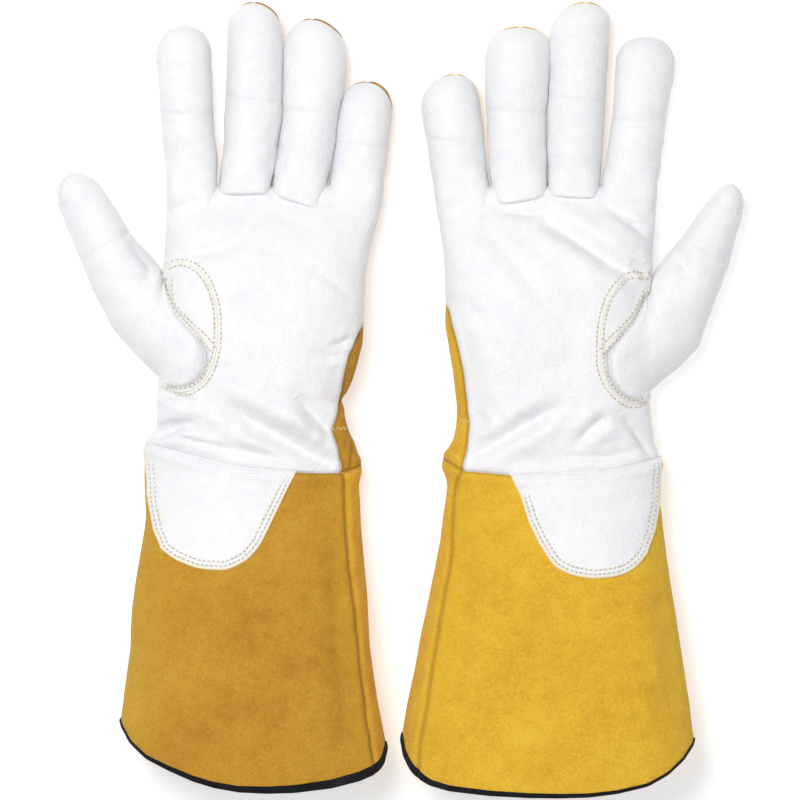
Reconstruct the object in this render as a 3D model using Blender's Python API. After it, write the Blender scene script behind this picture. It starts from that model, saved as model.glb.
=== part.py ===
# A pair of gauntlet welding gloves, laid palm up, fingers along +Y, cuffs
# along -Y, left glove at -X. Metres, +Z up, resting on Z = 0.
# Each glove is a hollow leather shell cut into the panels that are sewn
# together: palm, back, finger sleeves, thumb, cuff, patches and binding.
import math

import bmesh
import bpy
from mathutils import Vector

# ---------------------------------------------------------------- dimensions
UNIT = 0.000475        # one unit of the pattern grid; 320 units = 152 mm cuff
GRID_CENTRE = 400.0    # the pattern grid's middle is the pair's middle
LEATHER = 0.0016       # leather and lining together
GAP = 0.0003           # sewn edges keep this clear of each other
FLOOR_SHARE = 0.46     # section centre height, as a share of its height
SIDE_INSET = 1.0       # pattern units kept clear between two fingers
KNUCKLE_V = 201.0      # line across the finger bases
KNUCKLE_Z = 0.0170     # hinge height at the finger knuckles
FINGER_DEG = 75.0      # bend at each finger knuckle
THUMB_Z = 0.0250       # hinge height along the thumb's root
THUMB_DEG = 60.0       # room left at the seam; the joint itself stops at 50
THUMB_TIP_Z = 0.0200
THUMB_TIP_DEG = 60.0   # room left at the seam; the joint itself stops at 45
WRIST_V = 469.0        # wrist line
WRIST_Z = 0.0280
WRIST_DEG = 45.0
HEM_BAND = 0.0045      # width of the binding along the cuff
ARC = 8                # faces round half of a finger section

WHITE = (0.86, 0.86, 0.85, 1.0)
GOLD = (0.56, 0.31, 0.055, 1.0)
BLACK = (0.025, 0.024, 0.028, 1.0)
CREAM = (0.78, 0.72, 0.58, 1.0)

# Fingers: stations (v, left u, right u), base to tip, then the tip point,
# the middle knuckle and the section height in mm at base and tip.
GLOVES = {
    "left": {
        "fingers": {
            "index": ([(201, 165.6, 216.8), (160, 163.2, 217.5),
                       (128, 161.0, 213.0), (100, 158.6, 212.5),
                       (58, 155.3, 211.3), (40, 159.5, 208.0)],
                      (184, 26), 115.0, (25.0, 23.0)),
            "middle": ([(201, 218.0, 268.0), (166, 220.5, 275.0),
                        (141, 222.5, 278.5), (116, 224.6, 282.3),
                        (50, 227.0, 283.0), (20, 229.5, 278.5)],
                       (252, 3.0), 101.0, (25.5, 24.0)),
            "ring": ([(201, 271.5, 322.5), (174, 273.0, 329.0),
                      (149, 277.6, 334.0), (116, 283.0, 338.5),
                      (66, 283.0, 347.0), (45, 284.5, 345.0),
                      (33, 290.0, 339.0)],
                     (311, 18), 113.0, (25.5, 24.0)),
            "little": ([(201, 325.0, 381.6), (182, 329.0, 383.7),
                        (149, 335.7, 388.7), (124, 338.0, 390.5),
                        (109, 339.3, 392.4), (97, 343.0, 391.0)],
                       (368, 82), 146.0, (24.5, 22.5)),
        },
        # Hand: (v, left u, right u, height mm, squareness, palm seam u)
        "hand": [(201, 165.7, 381.6, 26.0, 4.0, None),
                 (235, 164.5, 374.5, 31.0, 3.4, None),
                 (262, 163.0, 368.0, 35.0, 3.0, None),
                 (300, 158.0, 364.0, 39.0, 2.8, None),
                 (328, 157.0, 363.5, 41.0, 2.7, 361.0),
                 (350, 156.5, 360.0, 42.0, 2.6, 351.0),
                 (378, 156.5, 353.0, 42.0, 2.6, 344.0),
                 (392, 156.5, 347.0, 42.0, 2.6, 342.0),
                 (415, 157.0, 344.5, 41.0, 2.5, 336.5),
                 (443, 146.0, 354.0, 40.0, 2.4, 336.0),
                 (469, 144.0, 361.5, 40.0, 2.4, 342.5)],
        "thumb_side": -1,
        "thumb_u": 163.0,
        "thumb_v": (272.0, 376.0),
        # Thumb: (inner u, v, outer u, v, height mm), root to tip
        "thumb": [((163, 270), (160, 378), 35.0),
                  ((157, 262), (124, 342), 33.0),
                  ((148, 253), (104, 318), 31.0),
                  ((139, 244), (91, 289), 29.5),
                  ((130, 232), (81, 262), 28.5),
                  ((112, 203), (66, 226), 27.0),
                  ((96, 181), (55.8, 203), 24.0)],
        "thumb_tip": (70, 176),
        "thumb_joint": 4,
        "gusset": [(266, 183.0, 192.0), (275, 181.0, 202.0),
                   (288, 180.5, 210.5), (302, 180.5, 215.5),
                   (327, 180.5, 219.5), (345, 180.5, 218.5),
                   (360, 180.5, 216.0), (377, 180.5, 211.0),
                   (388, 180.5, 201.0), (396, 182.0, 186.0)],
        "cuff": [(469, 144.0, 361.0, 40.0, 343.0),
                 (514, 146.0, 360.5, 43.0, 345.0),
                 (560, 139.5, 363.5, 48.0, 348.5),
                 (621, 131.5, 368.0, 55.0, 356.0),
                 (675, 126.5, 373.5, 60.0, 361.0),
                 (720, 121.0, 381.0, 64.0, 367.5)],
        "hem_v": (720.0, 745.0, 792.0),
        "patch": [(484, 147.5, 288.0), (500, 148.5, 282.0),
                  (515, 150.0, 275.0), (530, 154.0, 267.0),
                  (545, 160.5, 258.0), (556, 171.0, 250.0),
                  (563, 186.0, 240.0), (568, 205.0, 231.0)],
        "elastic_v": 429.0,
    },
    "right": {
        "fingers": {
            "index": ([(201, 601.5, 657.0), (164, 603.0, 661.0),
                       (129, 609.0, 666.0), (95, 614.5, 671.0),
                       (66, 615.8, 676.5), (50, 619.0, 672.0)],
                      (647, 37), 123.0, (25.0, 23.0)),
            "middle": ([(201, 548.5, 599.5), (155, 548.0, 602.0),
                        (120, 548.0, 605.0), (86, 549.5, 607.0),
                        (45, 550.5, 609.5), (17, 556.0, 609.0)],
                       (586, 3.0), 101.0, (25.5, 24.0)),
            "ring": ([(201, 494.0, 546.5), (172, 489.5, 546.4),
                      (112, 487.0, 545.6), (70, 485.4, 549.0),
                      (50, 486.5, 550.0), (36, 493.0, 547.0)],
                     (521, 26), 113.0, (25.5, 24.0)),
            "little": ([(201, 435.2, 491.5), (164, 430.0, 486.5),
                        (129, 425.0, 483.0), (105, 422.0, 480.0),
                        (90, 425.5, 477.0)],
                       (456, 74), 142.0, (24.5, 22.5)),
        },
        "hand": [(201, 435.2, 657.0, 26.0, 4.0, None),
                 (235, 441.0, 655.0, 31.0, 3.4, None),
                 (262, 444.5, 653.5, 35.0, 3.0, None),
                 (300, 445.3, 652.0, 39.0, 2.8, None),
                 (329, 447.0, 651.5, 41.0, 2.7, 453.0),
                 (357, 451.0, 651.0, 42.0, 2.6, 459.5),
                 (385, 455.0, 650.0, 42.0, 2.6, 465.0),
                 (413, 457.0, 652.0, 41.5, 2.5, 467.5),
                 (437, 453.0, 656.5, 40.5, 2.4, 468.0),
                 (469, 444.0, 661.5, 40.0, 2.4, 462.5)],
        "thumb_side": 1,
        "thumb_u": 651.0,
        "thumb_v": (278.0, 388.0),
        "thumb": [((651, 274), (651, 390), 35.0),
                  ((658, 266), (689, 358), 33.0),
                  ((666, 256), (707, 328), 31.0),
                  ((675, 245), (720, 291), 29.5),
                  ((684, 235), (730, 263), 28.5),
                  ((702, 208), (741, 226), 27.0),
                  ((715, 194), (744.2, 209), 24.0)],
        "thumb_tip": (734, 184),
        "thumb_joint": 4,
        "gusset": [(275, 622.5, 632.0), (285, 614.0, 633.0),
                   (297, 605.5, 633.5), (310, 601.5, 633.5),
                   (330, 597.5, 633.5), (350, 597.5, 633.5),
                   (365, 598.0, 633.5), (380, 601.5, 633.5),
                   (396, 611.5, 633.5), (405, 622.0, 631.5)],
        "cuff": [(469, 444.0, 661.0, 40.0, 462.5),
                 (500, 445.5, 660.5, 42.0, 454.5),
                 (541, 440.0, 665.0, 46.0, 451.0),
                 (581, 432.0, 670.5, 51.0, 446.0),
                 (634, 421.0, 679.0, 57.0, 437.5),
                 (688, 411.0, 687.0, 62.0, 429.0),
                 (730, 403.5, 692.5, 65.0, 421.5)],
        "hem_v": (737.0, 741.0, 797.0),
        "patch": [(484, 519.0, 657.5), (500, 522.0, 657.5),
                  (515, 527.5, 656.0), (530, 533.5, 653.5),
                  (545, 541.0, 648.5), (558, 549.0, 641.5),
                  (567, 560.0, 633.0), (575, 579.0, 617.0)],
        "elastic_v": 422.0,
    },
}


# ------------------------------------------------------------------- helpers
def px(u):
    return (u - GRID_CENTRE) * UNIT


def py(v):
    return (GRID_CENTRE - v) * UNIT


def clear_scene():
    for ob in list(bpy.data.objects):
        bpy.data.objects.remove(ob, do_unlink=True)


def material(name, colour, rough):
    mat = bpy.data.materials.new(name)
    mat.use_nodes = True
    shader = mat.node_tree.nodes["Principled BSDF"]
    shader.inputs["Base Color"].default_value = colour
    shader.inputs["Roughness"].default_value = rough
    shader.inputs["Metallic"].default_value = 0.0
    return mat


def power(value, exponent):
    return math.copysign(abs(value) ** exponent, value)


def section(xl, xr, height, square, phi, inset):
    """A point of a glove's cross-section: a squared oval whose underside is
    flat on the table. phi 0 is the right side, 90 degrees the top."""
    half = (xr - xl) / 2 - inset
    up = (1 - FLOOR_SHARE) * height - inset
    x = (xl + xr) / 2 + half * power(math.cos(phi), 2 / square)
    z = FLOOR_SHARE * height + up * power(math.sin(phi), 2 / square)
    return x, max(z, inset)


def phi_at(xl, xr, square, x):
    """The angle, on the top half, at which the section reaches x."""
    c = max(-1.0, min(1.0, (x - (xl + xr) / 2) / ((xr - xl) / 2)))
    return math.acos(power(c, square / 2))


def top_z(xl, xr, height, square, x):
    c = max(-1.0, min(1.0, abs(x - (xl + xr) / 2) / ((xr - xl) / 2)))
    rise = (1 - c ** square) ** (1 / square)
    return FLOOR_SHARE * height + (1 - FLOOR_SHARE) * height * rise


def between(stations, v):
    """Linear interpolation in a table whose first column is v."""
    rows = sorted(stations, key=lambda r: r[0])
    v = max(rows[0][0], min(rows[-1][0], v))
    for a, b in zip(rows, rows[1:]):
        if v <= b[0]:
            t = (v - a[0]) / (b[0] - a[0])
            out = []
            for p, q in zip(a[1:], b[1:]):
                if p is None or q is None:
                    out.append(q if t > 0.999 else None)
                else:
                    out.append(p + (q - p) * t)
            return out
    return list(rows[-1][1:])


def shell(name, outer, inner, closed, mat, tips=None):
    """A leather shell from matching outer and inner rings of points. A closed
    ring makes a sleeve, an open one a panel. tips are the outer and inner end
    points of a closed end."""
    bm = bmesh.new()
    vo = [[bm.verts.new(p) for p in ring] for ring in outer]
    vi = [[bm.verts.new(p) for p in ring] for ring in inner]
    n = len(outer[0])
    spans = range(n if closed else n - 1)
    last = len(vo) - 1
    for grid in (vo, vi):
        for a, b in zip(grid, grid[1:]):
            for j in spans:
                k = (j + 1) % n
                bm.faces.new((a[j], a[k], b[k], b[j]))
    ends = [0] if tips else [0, last]
    for i in ends:
        for j in spans:
            k = (j + 1) % n
            bm.faces.new((vo[i][j], vo[i][k], vi[i][k], vi[i][j]))
    if not closed:
        for j in (0, n - 1):
            for i in range(last):
                bm.faces.new((vo[i][j], vo[i + 1][j], vi[i + 1][j], vi[i][j]))
    if tips:
        po, pi = bm.verts.new(tips[0]), bm.verts.new(tips[1])
        for grid, tip in ((vo, po), (vi, pi)):
            for j in spans:
                bm.faces.new((grid[last][j], grid[last][(j + 1) % n], tip))
        if not closed:
            for j in (0, n - 1):
                bm.faces.new((vo[last][j], po, pi, vi[last][j]))
    return finish(name, bm, mat)


def finish(name, bm, mat):
    bmesh.ops.recalc_face_normals(bm, faces=bm.faces)
    mesh = bpy.data.meshes.new(name)
    bm.to_mesh(mesh)
    bm.free()
    mesh.shade_smooth()
    mesh.set_sharp_from_angle(angle=math.radians(40))
    ob = bpy.data.objects.new(name, mesh)
    ob.data.materials.append(mat)
    GLOVE_COLLECTION.objects.link(ob)
    return ob


def place_origin(ob, point):
    """Move an object's origin onto its joint, leaving its shape in place."""
    move = Vector(point)
    for vert in ob.data.vertices:
        vert.co -= move
    ob.location = move


def arc(a, b, n):
    return [a + (b - a) * i / n for i in range(n + 1)]


# -------------------------------------------------------------------- fingers
def finger_station(spec, v):
    """Left and right X and height of a finger's section at grid line v."""
    stations, tip, _, heights = spec
    ul, ur = between(stations, v)
    share = (KNUCKLE_V - v) / (KNUCKLE_V - tip[1])
    height = (heights[0] + (heights[1] - heights[0]) * share) / 1000
    end = stations[-1][0]
    if v < end:                       # the rounded end beyond the last station
        t = min(1.0, (end - v) / (end - tip[1]))
        keep = math.sqrt(max(0.0, 1 - t * t))
        ul = tip[0] + (ul - tip[0]) * keep
        ur = tip[0] + (ur - tip[0]) * keep
    if share > 0.72:
        t = (share - 0.72) / 0.28
        height *= 0.5 + 0.5 * math.sqrt(max(0.0, 1 - t * t))
    return px(ul + SIDE_INSET), px(ur - SIDE_INSET), height


def finger_ring(spec, v, phis, inset, wedge=0, half=None):
    xl, xr, height = finger_station(spec, v)
    mid = FLOOR_SHARE * height
    ring = []
    for phi in phis:
        x, z = section(xl, xr, height, 2.3, phi, inset)
        if half == "front":
            z = max(z, mid + GAP / 2)
        elif half == "back":
            z = min(z, mid - GAP / 2)
        y = py(v)
        if wedge:
            lean = math.tan(math.radians(FINGER_DEG / 2 + 1))
            y += wedge * (GAP / 2 + max(0.0, z - KNUCKLE_Z) * lean)
        ring.append(Vector((x, y, z)))
    return ring


def finger(side, name, spec):
    tip, knuckle = spec[1], spec[2]
    whole = name == "index"
    halves = [None] if whole else ["front", "back"]
    for half in halves:
        if whole:
            phis = arc(0, 2 * math.pi, 2 * ARC)[:-1]
        elif half == "front":
            phis = arc(0, math.pi, ARC)
        else:
            phis = arc(math.pi, 2 * math.pi, ARC)
        mat = MATERIALS["gold" if half == "back" else "white"]
        tag = "_" + half if half else "_sleeve"

        rows = [(KNUCKLE_V, 1), (KNUCKLE_V - 16, 0), (knuckle + 16, 0),
                (knuckle, -1)]
        outer = [finger_ring(spec, v, phis, 0, w, half) for v, w in rows]
        inner = [finger_ring(spec, v, phis, LEATHER, w, half) for v, w in rows]
        base = shell(f"{side}_{name}_base{tag}", outer, inner, whole, mat)
        place_origin(base, (0, py(KNUCKLE_V), KNUCKLE_Z))

        length = knuckle - tip[1]
        rows = [(knuckle, 1)]
        rows += [(knuckle - length * t, 0) for t in (0.26, 0.55, 0.78, 0.92)]
        outer = [finger_ring(spec, v, phis, 0, w, half) for v, w in rows]
        inner = [finger_ring(spec, v, phis, LEATHER, w, half) for v, w in rows]
        high = finger_station(spec, tip[1])[2] * FLOOR_SHARE
        high += {"front": GAP / 2, "back": -GAP / 2, None: 0}[half]
        # keep the inner end ring a leather's thickness behind the outer
        ends = (Vector((px(tip[0]), py(tip[1]), high)),
                Vector((px(tip[0]), py(tip[1]) - 1.5 * LEATHER, high)))
        end = shell(f"{side}_{name}_tip{tag}", outer, inner, whole, mat, ends)
        place_origin(end, (0, py(knuckle), KNUCKLE_Z))


# ---------------------------------------------------------------------- thumb
def thumb(side, g):
    rows = g["thumb"]
    sign = g["thumb_side"]
    phis = arc(0, 2 * math.pi, 2 * ARC)[:-1]
    hinge_x = px(g["thumb_u"])
    joint = g["thumb_joint"]

    def ring(row, inset, root=False, cut=0):
        a = Vector((px(row[0][0]), py(row[0][1]), 0))   # inner edge
        b = Vector((px(row[1][0]), py(row[1][1]), 0))   # outer edge
        across = (b - a).normalized()
        along = Vector((-across.y, across.x, 0)) * (1 if sign < 0 else -1)
        if along.y < 0 and not root:
            along = -along
        width, height = (b - a).length, row[2] / 1000
        out = []
        for phi in phis:
            s, z = section(0, width, height, 2.4, phi, inset)
            p = a + across * s + Vector((0, 0, z))
            if root:
                lean = math.tan(math.radians(THUMB_DEG / 2 + 1))
                p.x = hinge_x + sign * (GAP / 2 + max(0, z - THUMB_Z) * lean)
            elif cut:
                lean = math.tan(math.radians(THUMB_TIP_DEG / 2 + 1))
                p += along * cut * (GAP / 2 + max(0, z - THUMB_TIP_Z) * lean)
            out.append(p)
        return out

    def blend(a, b, t):
        mix = lambda p, q: tuple(x + (y - x) * t for x, y in zip(p, q))
        return mix(a[0], b[0]), mix(a[1], b[1]), a[2] + (b[2] - a[2]) * t

    white = MATERIALS["white"]
    base_rows = [(rows[0], True, 0)]
    base_rows += [(row, False, 0) for row in rows[1:joint]]
    base_rows += [(rows[joint], False, -1)]
    outer = [ring(r, 0, a, c) for r, a, c in base_rows]
    inner = [ring(r, LEATHER, a, c) for r, a, c in base_rows]
    base = shell(f"{side}_thumb_base_sleeve", outer, inner, True, white)
    place_origin(base, (hinge_x, py(sum(g["thumb_v"]) / 2), THUMB_Z))

    tip_rows = [(rows[joint], False, 1),
                (blend(rows[joint], rows[joint + 1], 0.55), False, 0),
                (rows[joint + 1], False, 0),
                (blend(rows[joint + 1], rows[joint + 2], 0.6), False, 0),
                (rows[joint + 2], False, 0)]
    outer = [ring(r, 0, a, c) for r, a, c in tip_rows]
    inner = [ring(r, LEATHER, a, c) for r, a, c in tip_rows]
    end = Vector((px(g["thumb_tip"][0]), py(g["thumb_tip"][1]), 0.011))
    back = sum((Vector(p) for p in inner[-1]), Vector()) / len(inner[-1])
    pull = (back - end).normalized() * 1.6 * LEATHER
    tip = shell(f"{side}_thumb_tip_sleeve", outer, inner, True, white,
                (end, end + pull))
    mid = (Vector((px(rows[joint][0][0]), py(rows[joint][0][1]), 0))
           + Vector((px(rows[joint][1][0]), py(rows[joint][1][1]), 0))) / 2
    place_origin(tip, (mid.x, mid.y, THUMB_TIP_Z))


# ----------------------------------------------------------------------- hand
def hand_row(g, v):
    ul, ur, height, square, seam = between(g["hand"], v)
    return px(ul), px(ur), height / 1000, square, seam


def hand_limits(g, v, top):
    """Start and end angles of the palm or back panel at grid line v: they meet
    at the little finger's side seam, and stop short of the thumb opening."""
    xl, xr, height, square, seam = hand_row(g, v)
    sign = g["thumb_side"]
    seam_phi = 0.0
    if seam is not None:
        c = phi_at(xl, xr, square, px(seam))
        seam_phi = c if sign < 0 else math.pi - c
    thumb_phi = 0.0
    lo, hi = g["thumb_v"]
    if lo - 6 < v < hi + 6:
        lean = math.tan(math.radians(THUMB_DEG / 2 + 1))
        reach = GAP / 2 + (max(0, height - THUMB_Z) * lean if top else 0)
        edge = px(g["thumb_u"]) - sign * (reach + 0.0006)
        c = phi_at(xl, xr, square, edge)
        thumb_phi = math.pi - c if sign < 0 else c
    return seam_phi, thumb_phi


def hand_panel(side, g, top):
    sign = g["thumb_side"]
    lo, hi = g["thumb_v"]
    levels = [KNUCKLE_V, KNUCKLE_V + 17, 240, lo - 8, lo, lo + 28,
              (lo + hi) / 2, hi - 28, hi, hi + 8, 418, 446, WRIST_V]
    outer, inner = [], []
    n = 14
    for number, v in enumerate(levels):
        xl, xr, height, square, _ = hand_row(g, v)
        seam_phi, thumb_phi = hand_limits(g, v, top)
        # angles measured from the little finger's side
        shift = GAP / 2 / (height * 0.5)
        if top:
            span = arc(seam_phi + shift, math.pi - thumb_phi
                       - (shift if thumb_phi == 0 else 0), n)
        else:
            span = arc(seam_phi - shift, -math.pi + thumb_phi
                       + (shift if thumb_phi == 0 else 0), n)
        phis = span if sign < 0 else [math.pi - p for p in span]
        for rings, inset in ((outer, 0), (inner, LEATHER)):
            ring = []
            for phi in phis:
                x, z = section(xl, xr, height, square, phi, inset)
                y = py(v)
                if number == 0:
                    lean = math.tan(math.radians(FINGER_DEG / 2 + 1))
                    y -= GAP / 2 + max(0, z - KNUCKLE_Z) * lean
                elif number == len(levels) - 1:
                    lean = math.tan(math.radians(WRIST_DEG / 2 + 1))
                    y += GAP / 2 + max(0, z - WRIST_Z) * lean
                ring.append(Vector((x, y, z)))
            rings.append(ring)
    name = f"{side}_palm_panel" if top else f"{side}_back_panel"
    mat = MATERIALS["white" if top else "gold"]
    shell(name, outer, inner, False, mat)


def elastic(side, g):
    """The elastic sewn inside the back of the wrist: a flat band that follows
    the inside of the back panel."""
    v = g["elastic_v"]
    xl, xr, height, square, _ = hand_row(g, v)
    outer, inner = [], []
    start = math.radians(-20)
    for y in (py(v) + 0.005, py(v) - 0.005):
        a, b, h, s, _ = hand_row(g, GRID_CENTRE - y / UNIT)
        phis = arc(start, -math.pi - start, 12)
        far = LEATHER + 0.0007
        outer.append([Vector((x, y, z)) for x, z in
                      (section(a, b, h, s, p, far) for p in phis)])
        inner.append([Vector((x, y, z)) for x, z in
                      (section(a, b, h, s, p, far + 0.001) for p in phis)])
    shell(f"{side}_wrist_elastic", outer, inner, False, MATERIALS["cream"])


# ---------------------------------------------------------- patches on the top
def surface_patch(name, rows, height_at, lift, thick, mat, n=10):
    """A leather patch that follows the surface below it, row by row."""
    outer, inner = [], []
    for v, ua, ub in rows:
        up, down = [], []
        for i in range(n + 1):
            x = px(ua + (ub - ua) * i / n)
            z = height_at(x, v)
            up.append(Vector((x, py(v), z + lift + thick)))
            down.append(Vector((x, py(v), z + lift)))
        outer.append(up)
        inner.append(down)
    return shell(name, outer, inner, False, mat)


def stitch_line(name, points, radius, mat):
    curve = bpy.data.curves.new(name, "CURVE")
    curve.dimensions = "3D"
    curve.bevel_depth = radius
    curve.bevel_resolution = 1
    curve.use_fill_caps = True
    spline = curve.splines.new("POLY")
    spline.points.add(len(points) - 1)
    for point, p in zip(spline.points, points):
        point.co = (p.x, p.y, p.z, 1.0)
    ob = bpy.data.objects.new(name, curve)
    ob.data.materials.append(mat)
    GLOVE_COLLECTION.objects.link(ob)
    return ob


def gusset(side, g):
    sign = g["thumb_side"]
    lift = 0.0008

    def height_at(x, v):
        xl, xr, height, square, _ = hand_row(g, v)
        return top_z(xl, xr, height, square, x)

    surface_patch(f"{side}_thumb_gusset", g["gusset"], height_at, lift,
                  0.0012, MATERIALS["white"], 6)
    # the seam thread runs round the gusset's curved edge
    points = []
    for v, ua, ub in g["gusset"]:
        u = ub - 4.0 if sign < 0 else ua + 4.0
        inside = ua + 1.5 if sign < 0 else ub - 1.5
        u = max(u, inside) if sign < 0 else min(u, inside)
        z = height_at(px(u), v) + lift + 0.0012 + 0.0009
        points.append(Vector((px(u), py(v), z)))
    stitch_line(f"{side}_gusset_stitching", points, 0.0004, MATERIALS["cream"])


def heel_patch(side, g):
    lift = 0.0008

    def height_at(x, v):
        ul, ur, height, _ = between(g["cuff"], v)
        return top_z(px(ul), px(ur), height / 1000, 2.4, x)

    rows = g["patch"]
    surface_patch(f"{side}_heel_patch", rows, height_at, lift, 0.0012,
                  MATERIALS["white"], 14)
    path = [(ua + 7.0, v) for v, ua, ub in rows[:-1]]
    v, ua, ub = rows[-1]
    path += [(ua + 8.0, v - 5.0), ((ua + ub) / 2, v - 4.5), (ub - 8.0, v - 5.0)]
    path += [(ub - 7.0, v) for v, ua, ub in reversed(rows[:-1])]
    points = [Vector((px(u), py(v),
                      height_at(px(u), v) + lift + 0.0012 + 0.0009))
              for u, v in path]
    stitch_line(f"{side}_patch_stitching", points, 0.0004, MATERIALS["cream"])


# ----------------------------------------------------------------------- cuff
def cuff_row(g, v):
    ul, ur, height, seam = between(g["cuff"], v)
    return px(ul), px(ur), height / 1000, px(seam)


def hem_v(g, phi):
    """Grid line of the hem at angle phi: the hem is cut in a bow, longest in
    the middle of the palm side and of the back."""
    left, right, middle = g["hem_v"]
    share = (1 + math.cos(phi)) / 2
    edge = left + (right - left) * share
    bow = (math.sqrt(math.sin(phi) ** 2 + 0.04) - 0.2) / 0.82
    return edge + (middle - edge) * bow


def cuff_ring(g, v, phis, inset, stop=None):
    """One ring of the cuff at grid line v, or, with stop, the ring that stays
    that far from the hem."""
    ring = []
    for phi in phis:
        here = v if stop is None else hem_v(g, phi) - stop / UNIT
        xl, xr, height, _ = cuff_row(g, here)
        x, z = section(xl, xr, height, 2.4, phi, inset)
        y = py(here)
        if v == WRIST_V:
            lean = math.tan(math.radians(WRIST_DEG / 2 + 1))
            y -= GAP / 2 + max(0, z - WRIST_Z) * lean
        ring.append(Vector((x, y, z)))
    return ring


def cuff(side, g):
    levels = [WRIST_V, 484] + [row[0] for row in g["cuff"][1:-1]] + [None]
    sign = g["thumb_side"]
    stop = HEM_BAND + 3 * GAP

    def seam_phi(v):
        xl, xr, height, seam = cuff_row(g, v)
        c = phi_at(xl, xr, 2.4, seam)
        return c if sign < 0 else math.pi - c

    def panel(name, start, end, mat, extra=0.0):
        outer, inner = [], []
        for level in levels:
            v = g["hem_v"][2] - 12 if level is None else level
            s = seam_phi(v)
            n = 16 if abs(end(s) - start(s)) > 1 else 2
            span = arc(start(s), end(s), n)
            phis = span if sign < 0 else [math.pi - p for p in span]
            hold = stop if level is None else None
            outer.append(cuff_ring(g, level, phis, -extra, hold))
            inner.append(cuff_ring(g, level, phis, LEATHER, hold))
        return shell(name, outer, inner, False, mat)

    tiny, welt = 0.006, 0.035
    panel(f"{side}_cuff_front_panel", lambda s: s + welt,
          lambda s: math.pi - tiny, MATERIALS["gold"])
    panel(f"{side}_cuff_back_panel", lambda s: s - welt,
          lambda s: -math.pi + tiny, MATERIALS["gold"])
    panel(f"{side}_cuff_seam_welt", lambda s: s - welt + 0.013,
          lambda s: s + welt - 0.013, MATERIALS["gold"], 0.0006)

    # binding folded over the hem, one closed band
    phis = arc(0, 2 * math.pi, 32)[:-1]
    outer, inner = [], []
    for stop in (HEM_BAND, 0.0):
        outer.append(cuff_ring(g, None, phis, -0.0005, stop))
        inner.append(cuff_ring(g, None, phis, LEATHER + 0.0008, stop))
    for ring in outer:
        for p in ring:
            p.z = max(p.z, 0.0)
    shell(f"{side}_hem_binding", outer, inner, True, MATERIALS["black"])


# ----------------------------------------------------------------------- build
clear_scene()
GLOVE_COLLECTION = bpy.data.collections.new("welding_gloves")
bpy.context.scene.collection.children.link(GLOVE_COLLECTION)
MATERIALS = {
    "white": material("white_goatskin", WHITE, 0.55),
    "gold": material("gold_split_suede", GOLD, 0.9),
    "black": material("black_binding", BLACK, 0.7),
    "cream": material("cream_thread", CREAM, 0.8),
}
for glove_side, spec_of_glove in GLOVES.items():
    for finger_name, finger_spec in spec_of_glove["fingers"].items():
        finger(glove_side, finger_name, finger_spec)
    thumb(glove_side, spec_of_glove)
    hand_panel(glove_side, spec_of_glove, True)
    hand_panel(glove_side, spec_of_glove, False)
    elastic(glove_side, spec_of_glove)
    gusset(glove_side, spec_of_glove)
    cuff(glove_side, spec_of_glove)
    heel_patch(glove_side, spec_of_glove)
bpy.context.view_layer.update()
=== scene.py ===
import math

import bpy
import numpy as np
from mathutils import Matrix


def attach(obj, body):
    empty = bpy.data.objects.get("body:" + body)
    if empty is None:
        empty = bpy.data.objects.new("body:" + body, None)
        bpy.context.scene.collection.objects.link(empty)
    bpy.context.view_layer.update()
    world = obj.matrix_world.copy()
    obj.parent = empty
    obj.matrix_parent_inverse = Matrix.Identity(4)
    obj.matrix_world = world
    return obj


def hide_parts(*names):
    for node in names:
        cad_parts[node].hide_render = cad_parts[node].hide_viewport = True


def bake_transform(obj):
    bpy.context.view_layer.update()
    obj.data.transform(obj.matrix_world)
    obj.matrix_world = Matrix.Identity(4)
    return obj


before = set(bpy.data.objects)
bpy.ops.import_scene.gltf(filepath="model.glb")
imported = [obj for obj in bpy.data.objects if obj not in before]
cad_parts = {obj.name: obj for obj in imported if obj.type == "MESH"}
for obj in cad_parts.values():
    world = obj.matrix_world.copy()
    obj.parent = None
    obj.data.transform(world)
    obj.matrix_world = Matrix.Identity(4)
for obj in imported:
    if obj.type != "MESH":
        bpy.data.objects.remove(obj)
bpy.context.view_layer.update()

# A pair of gauntlet welding gloves, palm up. Every surface is a loft or a
# wrapped grid computed here; U and V are the pattern grid that part.py uses:
# X = (U - 400) * UNIT, Y = (400 - V) * UNIT.
UNIT = 0.000475
MM = 0.001
FINE = 1.0          # grid steps are this much coarser


def X(u):
    return (np.asarray(u, float) - 400.0) * UNIT


def Y(v):
    return (400.0 - np.asarray(v, float)) * UNIT


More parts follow.
